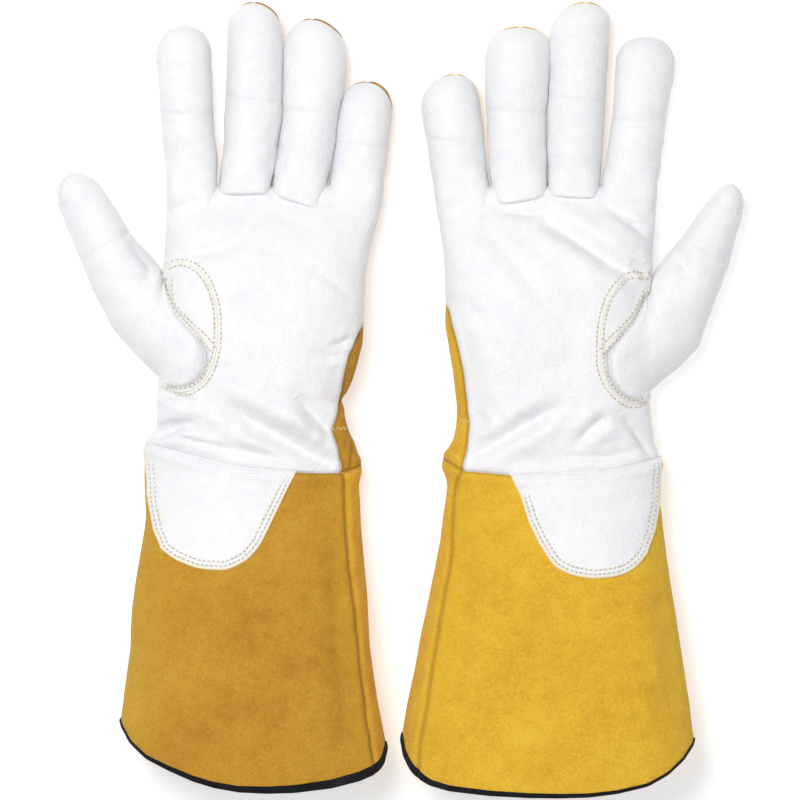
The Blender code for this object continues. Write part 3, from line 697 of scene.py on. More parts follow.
def tape(name):
    """Ribbed black binding: cross ribs from the 'rib' attribute."""
    mat, nt, b = nodes_of(name)
    co = coords(nt)
    rib = math_node(nt, "SINE", math_node(nt, "MULTIPLY", attribute(nt, "rib"), 2 * math.pi))
    fuzz = noise(nt, co, 1500.0, 3.0, 0.6)
    wear = noise(nt, co, 60.0, 4.0, 0.6)
    col = ramp(nt, wear, [(0.35, srgb(14, 14, 16)), (0.55, srgb(22, 22, 26)), (0.75, srgb(36, 36, 40))])
    lift = spread(nt, rib, -1.0, 1.0, 0.72, 1.25)
    grey = add(nt, "ShaderNodeCombineColor")
    for i in range(3):
        nt.links.new(lift, grey.inputs[i])
    col = mix(nt, "MULTIPLY", 0.8, col, grey.outputs[0])
    nt.links.new(col, b.inputs["Base Color"])
    nt.links.new(spread(nt, fuzz, 0.3, 0.7, 0.92, 0.72), b.inputs["Roughness"])
    b.inputs["Sheen Weight"].default_value = 0.04
    b.inputs["Specular IOR Level"].default_value = 0.2
    n1 = bump(nt, rib, 0.00025, 0.8)
    n2 = bump(nt, fuzz, 0.00012, 0.7, n1)
    nt.links.new(n2, b.inputs["Normal"])
    return mat


def thread(name, light, dark, rough=0.75):
    mat, nt, b = nodes_of(name)
    co = coords(nt)
    twist = noise(nt, co, 3200.0, 3.0, 0.6, 0.8)
    tone = noise(nt, co, 220.0, 2.0, 0.5)
    col = ramp(nt, tone, [(0.35, dark), (0.6, light)])
    nt.links.new(col, b.inputs["Base Color"])
    nt.links.new(spread(nt, twist, 0.3, 0.7, rough + 0.1, rough - 0.1), b.inputs["Roughness"])
    b.inputs["Sheen Weight"].default_value = 0.2
    nt.links.new(bump(nt, twist, 0.00012, 0.8), b.inputs["Normal"])
    return mat


def fleece(name):
    """Cotton lining: soft loops, off white."""
    mat, nt, b = nodes_of(name)
    co = coords(nt)
    loops = cells(nt, co, 620.0, "SMOOTH_F1")
    tone = noise(nt, co, 70.0, 4.0, 0.6)
    col = ramp(nt, tone, [(0.35, srgb(196, 190, 176)), (0.6, srgb(226, 221, 208))])
    nt.links.new(col, b.inputs["Base Color"])
    nt.links.new(spread(nt, loops, 0.1, 0.7, 0.98, 0.88), b.inputs["Roughness"])
    b.inputs["Sheen Weight"].default_value = 0.4
    nt.links.new(bump(nt, loops, 0.0006, 0.7), b.inputs["Normal"])
    return mat


WHITE = goatskin("white_goatskin", srgb(238, 238, 240), srgb(231, 232, 236))
GOLD = {"left": suede("gold_suede_left", srgb(208, 158, 56), srgb(196, 143, 44), srgb(178, 124, 36)),
        "right": suede("gold_suede_right", srgb(238, 194, 63), srgb(229, 180, 49), srgb(210, 158, 40))}
STRIP = suede("gold_suede_bright", srgb(242, 190, 60), srgb(230, 174, 50), srgb(206, 150, 42))
TAPE = tape("black_binding")
THREAD = thread("cream_thread", srgb(240, 236, 222), srgb(226, 218, 196))
# painted shade: grey beads that stand for the shade in the needle holes
HOLE_SHADE = thread("needle_hole_shade", srgb(188, 187, 182), srgb(164, 161, 154), 0.85)
ELASTIC = thread("elastic_thread", srgb(232, 206, 134), srgb(206, 172, 92))
LINING = fleece("cotton_lining")


# --------------------------------------------------------- hand-cuff surface
NQ = 260


def se_pow(c, e):
    return np.sign(c) * np.abs(c) ** (2.0 / e)


class Body:
    """The hand and cuff of one glove as one closed tube, looked up by
    pattern row v and girth q: 0 right side, 1 left side, top first."""

    def __init__(self, side):
        g = self.g = PATTERN[side]
        self.side = side
        self.V = V = np.arange(184.0, 801.0, 1.0)
        self.left, self.right = Line(g["hand_left"], 2.2), Line(g["hand_right"], 2.2)
        self.height, self.square = Line(g["height"], 6.0), Line(g["square"], 6.0)
        self.seam = Line(g["palm_seam"], 2.5)
        xl, xr = X(self.left(V)), X(self.right(V))
        h, e = self.height(V) * MM, self.square(V)
        nose = np.sqrt(np.clip(1 - (np.clip(198.0 - V, 0, 14) / 14.6) ** 2, 0, 1))
        phi = np.linspace(0, math.pi, 721)
        q = np.linspace(0, 1, NQ + 1)
        P = np.zeros((len(V), 2 * NQ, 3))
        S = np.zeros((len(V), 2 * NQ))
        self.xn = np.sin(np.linspace(-math.pi / 2, math.pi / 2, 401))
        self.q_of = np.zeros((len(V), len(self.xn)))
        for i in range(len(V)):
            xc, a = (xl[i] + xr[i]) / 2, (xr[i] - xl[i]) / 2
            a_n = a * (0.93 + 0.07 * nose[i])
            for half, (sgn, b) in enumerate(((1, 0.54 * h[i]), (-1, 0.46 * h[i]))):
                cx = se_pow(np.cos(phi), e[i]) * (1 if half == 0 else -1)
                x = xc + a_n * cx
                s = np.abs(np.sin(phi)) ** (2.0 / e[i])
                z = 0.46 * h[i] + sgn * b * s * nose[i]
                d = np.concatenate([[0], np.cumsum(np.hypot(np.diff(x), np.diff(z)))])
                d /= d[-1]
                P[i, half * NQ:(half + 1) * NQ, 0] = np.interp(q[:-1], d, x)
                P[i, half * NQ:(half + 1) * NQ, 2] = np.interp(q[:-1], d, z)
                S[i, half * NQ:(half + 1) * NQ] = sgn * np.interp(q[:-1], d, s)
                if half == 0:
                    self.q_of[i] = np.interp(-self.xn, -cx, d)
            P[i, :, 1] = Y(V[i])
        self.P0 = P
        self.a = (xr - xl) / 2
        self.xc = (xr + xl) / 2
        N0 = normals_of(P, closed=True)
        self.wrist = smooth_path(g["wrist_seam"], 2.0, 4.0)
        self.wrist_v = Line([(p[0], p[1]) for p in g["wrist_seam"]], 3.0)
        U = P[..., 0] / UNIT + 400.0
        VV = np.broadcast_to(V[:, None], U.shape)
        # relief gives the displacement D and A, the painted seam shade
        D, A = self.relief(U, VV, S, P)
        P = P + N0 * D[..., None]
        P[..., 2] = np.maximum(P[..., 2], 0.0004)
        self.P, self.A = P, A
        self.N = normals_of(P, closed=True)

    def relief(self, U, V, S, P):
        g = self.g
        top = S > 0
        u, v = U[top], V[top]
        side_w = np.clip(S[top] * 2.2, 0, 1)
        D = np.zeros(u.shape)
        A = np.zeros(u.shape)
        hand = np.clip((self.wrist_v(u) - v) / 12.0 + 0.5, 0, 1)
        for pts, depth, width in g["creases"]:
            depth = depth * 1.35
            path = smooth_path(pts, 2.0, 4.0)
            d, t = path_distance(u, v, path)
            fade = np.sin(np.pi * np.clip(t, 0.02, 0.98)) ** 0.55
            D += MM * depth * fade * side_w * (
                -0.92 * np.exp(-(d / width) ** 2) - 0.08 * np.exp(-(d / (0.4 * width)) ** 2)
                + 0.45 * np.exp(-((d - 1.9 * width) / (1.2 * width)) ** 2))
        for (cu, cv), (ru, rv), depth in g["mounds"]:
            D += MM * depth * side_w * np.exp(-((u - cu) / ru) ** 2 - ((v - cv) / rv) ** 2)
        for pts, depth, width in g["cuff_folds"]:
            path = smooth_path(pts, 4.0, 6.0)
            d, t = path_distance(u, v, path)
            fade = np.sin(np.pi * np.clip(t, 0.03, 0.97)) ** 0.6
            D += -MM * depth * fade * side_w * np.exp(-(d / width) ** 2)
        d, _ = path_distance(u, v, self.wrist)
        D += MM * (-0.9 * np.exp(-(d / 1.5) ** 2) + 0.55 * np.exp(-((d - 7) / 5.0) ** 2))
        # painted shade: a grey line along the wrist seam
        A = np.maximum(A, 0.8 * np.exp(-(d / 1.6) ** 2))
        seam = smooth_path([(b, a) for a, b in g["palm_seam"]], 3.0, 4.0)
        d, _ = path_distance(u, v, seam)
        shown = np.clip((v - (318.0 if self.side == "left" else 300.0)) / 12.0, 0, 1)
        D += MM * shown * (-0.9 * np.exp(-(d / 1.5) ** 2) + 0.45 * np.exp(-((d - 5) / 3.5) ** 2))
        # painted shade along the palm seam where it shows
        A = np.maximum(A, 0.9 * shown * np.exp(-(d / 1.7) ** 2))
        st = g["thumb"]
        ring = ([s[0] for s in st[7::-1]] + [s[1] for s in st[:6]])
        self.lobe_edge = smooth_path(ring, 2.0, 2.0)
        d, _ = path_distance(u, v, self.lobe_edge)
        D += -MM * 1.6 * np.exp(-(d / 2.8) ** 2)
        # painted shadow along the thumb lobe's edge, where the lobe lies on the palm
        A = np.maximum(A, 0.9 * np.exp(-(d / 2.6) ** 2))
        self.gusset_line = smooth_path(g["gusset_edge"], 2.0, 2.0)
        # elastic gathers: short cross puckers near the line across the wrist
        ev = g["elastic"]
        gather = np.exp(-((v - ev) / 13.0) ** 2)
        D += -MM * 0.6 * np.exp(-((v - ev) / 6.0) ** 2) * (1 - 0.4 * hand)
        D += MM * 0.28 * gather * np.sin(u / 3.1 + 1.3 * np.sin(v / 7.0))
        p = P[top]
        D += MM * (0.55 * ripple(p, 0.055, 1) + 0.22 * ripple(p, 0.016, 2)) * (0.35 + 0.65 * side_w)
        D_all = np.zeros(U.shape)
        A_all = np.zeros(U.shape)
        D_all[top] = D
        A_all[top] = A
        low = ~top
        D_all[low] = MM * 0.25 * ripple(P[low], 0.04, 3) * 0.6
        return D_all, A_all

    def look(self, table, v, q):
        v, q = np.asarray(v, float), np.asarray(q, float)
        fv = np.clip(v - self.V[0], 0, len(self.V) - 1.001)
        fq = np.mod(q, 2.0) * NQ
        i, j = fv.astype(int), fq.astype(int)
        a, b = fv - i, fq - j
        j0, j1 = j % (2 * NQ), (j + 1) % (2 * NQ)
        if table.ndim == 3:
            a, b = a[..., None], b[..., None]
        return ((1 - a) * ((1 - b) * table[i, j0] + b * table[i, j1])
                + a * ((1 - b) * table[i + 1, j0] + b * table[i + 1, j1]))

    def q_at(self, u, v):
        """Girth place of a pattern point on the top half."""
        u, v = np.broadcast_arrays(np.asarray(u, float), np.asarray(v, float))
        fv = np.clip(v - self.V[0], 0, len(self.V) - 1.001)
        i = fv.astype(int)
        t = fv - i
        xc = self.xc[i] * (1 - t) + self.xc[i + 1] * t
        a = self.a[i] * (1 - t) + self.a[i + 1] * t
        xn = np.clip((X(u) - xc) / a, -1, 1)
        f = (np.arcsin(xn) + math.pi / 2) / math.pi * 400
        j = np.clip(f.astype(int), 0, 399)
        s = f - j
        return ((1 - t) * ((1 - s) * self.q_of[i, j] + s * self.q_of[i, j + 1])
                + t * ((1 - s) * self.q_of[i + 1, j] + s * self.q_of[i + 1, j + 1]))

    def at(self, v, q, lift=0.0):
        P = self.look(self.P, v, q)
        N = self.look(self.N, v, q)
        N = N / np.linalg.norm(N, axis=-1, keepdims=True)
        lift = np.asarray(lift, float)
        return P + N * (lift[..., None] if lift.ndim else lift), N

    def top(self, u, v, lift=0.0):
        return self.at(v, self.q_at(u, v), lift)

    def u_of(self, v, q):
        return self.look(self.P0, v, q)[..., 0] / UNIT + 400.0


def blend_wrist(ob):
    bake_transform(ob)


def done(ob, slot, *nodes):
    if nodes:
        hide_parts(*nodes)


# ------------------------------------------------------------------ stitches
def capsule(n_around=7, n_along=7):
    t = np.linspace(0, math.pi, n_along)
    a = np.arange(n_around) * 2 * math.pi / n_around
    # length along x from -1 to 1, round section of radius 1
    prof = np.sin(t) ** 0.6
    P = np.stack([np.broadcast_to(-np.cos(t)[:, None], (n_along, n_around)),
                  prof[:, None] * np.cos(a)[None, :],
                  prof[:, None] * np.sin(a)[None, :]], -1)
    return P


def beads(name, pts, tans, norms, length, radius, height, material):
    """One mesh of small rounded pieces laid along a path: stitches."""
    C = capsule()
    rows, cols = C.shape[:2]
    unit = C.reshape(-1, 3)
    tans = tans / np.linalg.norm(tans, axis=1, keepdims=True)
    norms = norms - (norms * tans).sum(1, keepdims=True) * tans
    norms /= np.linalg.norm(norms, axis=1, keepdims=True)
    sides = np.cross(norms, tans)
    n = len(pts)
    V = (pts[:, None, :] + unit[None, :, 0:1] * tans[:, None, :] * length / 2
         + unit[None, :, 1:2] * sides[:, None, :] * radius
         + unit[None, :, 2:3] * norms[:, None, :] * height)
    F = grid_faces(rows, cols, closed=True)
    faces = (F[None] + (np.arange(n) * rows * cols)[:, None, None]).reshape(-1, 4)
    return make_mesh(name, V.reshape(-1, 3), [faces], material)


def run(points, pitch, offset=0.5):
    """Places and directions every pitch pattern units along a path."""
    p = smooth_path(points, 0.5, 1.5)
    d = np.concatenate([[0], np.cumsum(np.linalg.norm(np.diff(p, axis=0), axis=1))])
    s = np.arange(pitch * offset, d[-1] - pitch * 0.3, pitch)
    at = np.stack([np.interp(s, d, p[:, i]) for i in range(2)], 1)
    a2 = np.stack([np.interp(np.minimum(s + 1, d[-1]), d, p[:, i]) for i in range(2)], 1)
    a1 = np.stack([np.interp(np.maximum(s - 1, 0), d, p[:, i]) for i in range(2)], 1)
    return at, a2 - a1


def surface_frame(body, at, tan, lift):
    P, N = body.top(at[:, 0], at[:, 1], lift)
    P2, _ = body.top(at[:, 0] + tan[:, 0] * 0.2, at[:, 1] + tan[:, 1] * 0.2, lift)
    return P, P2 - P, N


def offset_path(points, dist):
    """A path moved sideways by dist pattern units (positive: to its left)."""
    p = smooth_path(points, 1.0, 2.0)
    t = np.gradient(p, axis=0)
    t /= np.linalg.norm(t, axis=1, keepdims=True)
    return p + np.stack([t[:, 1], -t[:, 0]], 1) * dist


# ------------------------------------------------------------- glove panels
def mesh_rows(v0, v1, n):
    return v0[None, :] + (v1 - v0)[None, :] * np.linspace(0, 1, n)[:, None]


HEM = {
    "left": ([(120.5, 719), (121.5, 724), (124, 730), (132, 744), (147, 758.5),
              (169, 770), (193, 780.5), (214, 787), (239.5, 791.5),
              (267, 792.8), (295, 792), (332, 787.5), (360, 780.5),
              (376, 773.5), (384, 763.5), (387, 751), (387.5, 745)],
             [(120, 3.5), (150, 4.5), (184, 6.0), (240, 6.8), (295, 8.2),
              (340, 9.2), (372, 10.0), (388, 9.5)]),
    "right": ([(400.5, 738), (401.5, 745), (404, 757), (409, 767), (417, 777),
               (429.5, 785), (449, 790.5), (489, 795), (528, 797),
               (558, 797.4), (588, 796.6), (617, 793), (647, 786),
               (667, 775), (683, 760.5), (692, 747), (694.5, 740)],
              [(400, 9.5), (416, 8.8), (432, 6.5), (460, 6.0), (500, 5.5),
               (560, 4.8), (620, 4.0), (660, 3.6), (695, 3.4)])}


class Hem:
    def __init__(self, side):
        line, band = HEM[side]
        p = smooth_path(line, 1.0, 2.0)
        self.u, self.v = p[:, 0], p[:, 1]
        self.bu, self.bw = np.array(band, float).T

    def __call__(self, u):
        return np.interp(u, self.u, self.v)

    def width(self, u):
        return np.interp(u, self.bu, self.bw)

    def rows(self, body, q, back=0.0):
        """v of the hem (less back times the band) at girth q."""
        v = np.full(np.shape(q), 770.0)
        for _ in range(12):
            u = body.u_of(v, q)
            v = 0.5 * v + 0.5 * (self(u) - back * self.width(u))
        return v


def cols_between(qa, qb, n):
    t = np.linspace(0, 1, n)
    return qa[:, None] * (1 - t) + qb[:, None] * t


def panel(body, name, qa_fn, qb_fn, v_top, v_bottom, n_rows, n_cols, material,
          lift=0.0, thick=0.0, edge_fn=None):
    """A grid between two girth curves and two end curves of the body."""
    t = np.linspace(0, 1, n_rows)[:, None]
    s = np.linspace(0, 1, n_cols)[None, :]
    v = 400.0 + 0 * t * s
    q = 0.5 + 0 * t * s
    for _ in range(14):
        qa, qb = qa_fn(v), qb_fn(v)
        q = qa * (1 - s) + qb * s
        u = body.u_of(v, q)
        top = v_top(u, q)
        bottom = v_bottom(u, q)
        v = 0.35 * v + 0.65 * (top * (1 - t) + bottom * t)
    P, N = body.at(v, q, lift)
    # painted shade: the body's seam shade carried onto the panel
    A = body.look(body.A, v, q)
    attrs = {"seam": A, "edge": np.zeros_like(A)}
    if edge_fn is not None:
        attrs["edge"] = edge_fn(body.u_of(v, q), v, q)
    return sheet(name, P, N, material, thick=thick, attrs=attrs), P, N


def glove(side):
    g = PATTERN[side]
    body = Body(side)
    hem = Hem(side)
    sgn = g["thumb_side"]
    left = side == "left"
    white, gold = WHITE, GOLD[side]
    n = lambda k: max(8, int(k / FINE))
    vs = np.arange(184.0, 801.0, 2.0)
    q_seam = body.q_at(body.seam(vs), vs)
    tuck = 0.085 * np.clip(((328.0 if left else 306.0) - vs) / 14.0, 0, 1)
    q_seam = gauss1(q_seam - tuck if left else q_seam + tuck, 2.0)

    def seam_q(v):
        return np.interp(v, vs, q_seam)

    under = 0.10
    const = lambda value: (lambda v: np.full(np.shape(v), value))
    if left:
        palm_a, palm_b = seam_q, const(1 + under)
        back_a, back_b = const(1 + under), lambda v: 2 + seam_q(v)
    else:
        palm_a, palm_b = const(-under), seam_q
        back_a, back_b = seam_q, const(2 - under)

    # the wrist seam carries on round the back at a constant height
    def wrist_v(u, q):
        topside = np.clip(np.sin(np.mod(q, 2.0) * math.pi) * 5 + 0.5, 0, 1)
        return body.wrist_v(u) * topside + 466.0 * (1 - topside)

    start_v = lambda u, q: np.full(np.shape(u), 184.5)
    hem_in = lambda u, q: hem(u) - 0.45 * hem.width(u)

    def band_tint(u, v, q):
        d, _ = path_distance(u, v, body.gusset_line)
        top = np.clip(np.sin(np.mod(q, 2.0) * math.pi) * 6, 0, 1)
        return 0.20 * np.exp(-(d.reshape(u.shape) / 3.0) ** 2) * top

    ob, _, _ = panel(body, side + "_palm", palm_a, palm_b, start_v, wrist_v,
                     n(330), n(300), white, edge_fn=band_tint)
    blend_wrist(ob)
    done(ob, "white_goatskin", side + "_palm_panel")
    ob, _, _ = panel(body, side + "_back", back_a, back_b, start_v, wrist_v,
                     n(220), n(200), gold)
    blend_wrist(ob)
    done(ob, "gold_suede", side + "_back_panel")

    front_a, front_b = (seam_q, const(1.03)) if left else (const(-0.03), seam_q)
    def side_tint(u, v, q):
        xn = np.abs((u - (body.left(v) + body.right(v)) / 2) / ((body.right(v) - body.left(v)) / 2))
        w = np.clip((xn - 0.62) / 0.38, 0, 1)
        return (0.75 if (u.mean() > 400) else 0.6) * w * w * (3 - 2 * w)

    ob, _, _ = panel(body, side + "_cuff_front", front_a, front_b, wrist_v, hem_in,
                     n(330), n(260), gold, edge_fn=side_tint)
    blend_wrist(ob)
    done(ob, "gold_suede", side + "_cuff_front_panel")
    cb_a, cb_b = (const(1.03), lambda v: 2 + seam_q(v)) if left else (seam_q, const(1.97))
    ob, _, _ = panel(body, side + "_cuff_back", cb_a, cb_b, wrist_v, hem_in,
                     n(260), n(220), STRIP if left else GOLD["right"])
    blend_wrist(ob)
    done(ob, "gold_suede", side + "_cuff_back_panel")

    # side seam: the two cuff panels' edges, turned in, with a thin welt
    vv = np.linspace(float(body.wrist_v(body.seam(472))) + 2, 600, 5)
    v_end = float(hem.rows(body, np.array([seam_q(740.0)]))[0]) - 5
    vv = np.linspace(473.0, v_end, n(240))
    qq = seam_q(vv)
    C, N = body.at(vv, qq, -0.0003)
    T = np.gradient(C, axis=0)
    T /= np.linalg.norm(T, axis=1, keepdims=True)
    B = np.cross(T, N)
    B /= np.linalg.norm(B, axis=1, keepdims=True)
    ang = np.linspace(0, 2 * math.pi, 13)[:-1]
    r = 0.00075 * np.clip(np.minimum(np.arange(len(vv)), np.arange(len(vv))[::-1]) / 4.0, 0.15, 1)
    Pw = (C[:, None, :] + r[:, None, None] * (np.cos(ang)[None, :, None] * B[:, None, :] * 0.8
                                              + np.sin(ang)[None, :, None] * N[:, None, :]))
    Nw = np.cos(ang)[None, :, None] * B[:, None, :] + np.sin(ang)[None, :, None] * N[:, None, :]
    # painted shade: the whole welt carries a seam shade of 0.55
    ob = sheet(side + "_side_welt", Pw, Nw, gold, closed=True, flip=True,
               attrs={"seam": np.full(Pw.shape[:2], 0.55), "edge": np.zeros(Pw.shape[:2])})
    blend_wrist(ob)
    done(ob, "gold_suede", side + "_cuff_seam_welt")

    # binding: over the hem from the outside to the inside
    q = np.linspace(0, 2, n(620) + 1)[:-1]
    v_edge = hem.rows(body, q)
    u_edge = body.u_of(v_edge, q)
    width = hem.width(u_edge) * np.where(q < 1, 1.0, 1.0)
    width = np.where(q > 1, np.interp(q, [1, 1.15, 1.85, 2], [width[len(q) // 2], 8, 8, width[0]]), width)
    prof = [(1.00, -0.5), (1.0, 0.15), (0.97, 0.5), (0.86, 0.66), (0.6, 0.72), (0.3, 0.72),
            (0.1, 0.6), (0.02, 0.25), (0.0, -0.4), (0.02, -1.1), (0.1, -1.8), (0.3, -2.2),
            (0.6, -2.3), (0.86, -2.2), (0.97, -2.0), (1.0, -1.5)]
    pr = smooth_path([(a * 8, b) for a, b in prof], 0.35, 0.35)
    rows, pts = len(pr), []
    for a, b in pr:
        Pb, _ = body.at(v_edge - a / 8 * width, q, MM * b)
        pts.append(Pb)
    Pb = np.array(pts)
    Nb = normals_of(Pb, closed=True)
    out, _ = body.at(v_edge - 0.5 * width, q, 0.0)
    _, No = body.at(v_edge - 0.5 * width, q, 0.0)
    if (Nb[rows // 4] * No).sum(-1).mean() < 0:
        Nb, flip = -Nb, True
    else:
        flip = False
    edge_line = Pb[rows // 2]
    seg = np.linalg.norm(np.roll(edge_line, -1, 0) - edge_line, axis=1)
    total = seg.sum()
    ribs = round(total / 0.0011)
    s = np.concatenate([[0], np.cumsum(seg)[:-1]]) / total * ribs
    rib = np.broadcast_to(s[None, :], Pb.shape[:2])
    # the seam of the strip is a plain butt at the hidden side
    cols = np.r_[np.arange(Pb.shape[1]), 0]
    Pb, Nb = Pb[:, cols], Nb[:, cols]
    rib = np.concatenate([rib, np.full((rows, 1), ribs)], 1)
    shift = Pb.shape[1] // 4 * 0
    Pb[..., 2] = np.maximum(Pb[..., 2], 0.0002)
    ob = sheet(side + "_binding", Pb, Nb, TAPE, flip=flip, attrs={"rib": rib})
    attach(ob, side + "_cuff")
    done(ob, "black_binding", side + "_hem_binding")

    # lining: cotton, one sleeve just inside the leather
    q = np.linspace(0, 2, n(200) + 1)[:-1]
    v_lo = hem.rows(body, q, back=0.85)
    t = np.linspace(0, 1, n(150))[:, None]
    v = 240 + (v_lo[None, :] - 240) * t
    P, N = body.at(v, np.broadcast_to(q[None, :], v.shape), -0.0019)
    hull = body.look(body.P0, v, np.broadcast_to(q[None, :], v.shape))
    P[..., 2] = np.maximum(P[..., 2], 0.0018)
    P = P + N * (0.00025 * ripple(P, 0.02, 5))[..., None]
    ob = sheet(side + "_lining", P, -normals_of(P, closed=True), LINING, closed=True, flip=True)
    blend_wrist(ob)
    # its far end, closed across the knuckles
    ring = P[0]
    mid = ring.mean(0)
    K = np.stack([mid + (ring - mid) * k + np.array([0, 0.010 * (1 - k * k), 0]) for k in np.linspace(0, 1, 14)])
    Nk = normals_of(K, closed=True)
    ob = sheet(side + "_lining_end", K, Nk, LINING, closed=True)
    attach(ob, side + "_hand")
    return body, hem, seam_q


# ---------------------------------------------------------------- patches
def patch(body, name, boundary, centre, rings, lift, material, rim=1.0,
          edge_tint=1.0, sink=-0.0006, shade=0.25, tint_line=None, band=None, seam_rows=()):
    """A leaf of leather lying on the body: rings from a centre out to a
    closed boundary path, with a rounded cut edge."""
    b = smooth_path(list(boundary) + [boundary[0]], 1.2 * FINE, 1.2)
    b[-1] = b[0]
    cu, cv = centre
    r = np.linspace(0.0, 1.0, rings) ** 0.8
    d_edge = np.linalg.norm(b - np.array([cu, cv]), axis=1)
    rows, lifts, tint, seams = [], [], [], []
    for k in r:
        inset = (1 - k) * 1.0
        rows.append(np.stack([cu + (b[:, 0] - cu) * k, cv + (b[:, 1] - cv) * k], 1))
    G = np.array(rows)
    # distance in pattern units from the rim, measured along the spokes
    dist = (1 - r)[:, None] * d_edge[None, :]
    extra = [(0.9, 0.0), (0.55, 0.35), (0.25, 0.7), (0.05, 1.2), (0.0, 2.0)]
    lift_grid = np.full(dist.shape, lift)
    tint_grid = np.clip(1 - dist / rim, 0, 1) * edge_tint
    G2, L2, T2 = [G], [lift_grid], [tint_grid]
    direction = (b - np.array([cu, cv])) / d_edge[:, None]
    for frac, drop in ((0.35, 0.12), (0.6, 0.35), (0.75, 0.65), (0.8, 1.0)):
        G2.append((b + direction * frac)[None])
        L2.append(np.full((1, len(b)), lift + (sink - lift) * drop))
        T2.append(np.full((1, len(b)), edge_tint))
    G, L, T = np.concatenate(G2), np.concatenate(L2), np.concatenate(T2)
    for offset, depth, width in seam_rows:
        dd = np.concatenate([dist, np.zeros((4, len(b)))])
        L = L - depth * MM * np.exp(-((dd - offset) / width) ** 2)
        T = T + 0.0 * dd
    P, N = body.top(G[..., 0], G[..., 1], L)
    # painted shade: the body's seam shade under the patch, scaled by shade
    A = body.look(body.A, G[..., 1], body.q_at(G[..., 0], G[..., 1])) * shade
    if band is not None:
        dband, _ = path_distance(G[..., 0], G[..., 1], smooth_path(band, 2.0, 2.0))
        T = np.maximum(T, 0.20 * np.exp(-(dband.reshape(T.shape) / 2.8) ** 2))
    if tint_line is not None:
        T = T * (G[..., 1] > tint_line(G[..., 0]) + 2.0)
    Ng = normals_of(P, closed=True)
    if (Ng[len(r) // 2] * N[len(r) // 2]).sum(-1).mean() < 0:
        Ng, flip = -Ng, True
    else:
        flip = False
    Ng[0] = N[0]
    return sheet(name, P, Ng, material, closed=True, flip=flip, attrs={"seam": A, "edge": T}), G, P, Ng


def closed_rows(path_a, path_b):
    return list(path_a) + list(path_b)


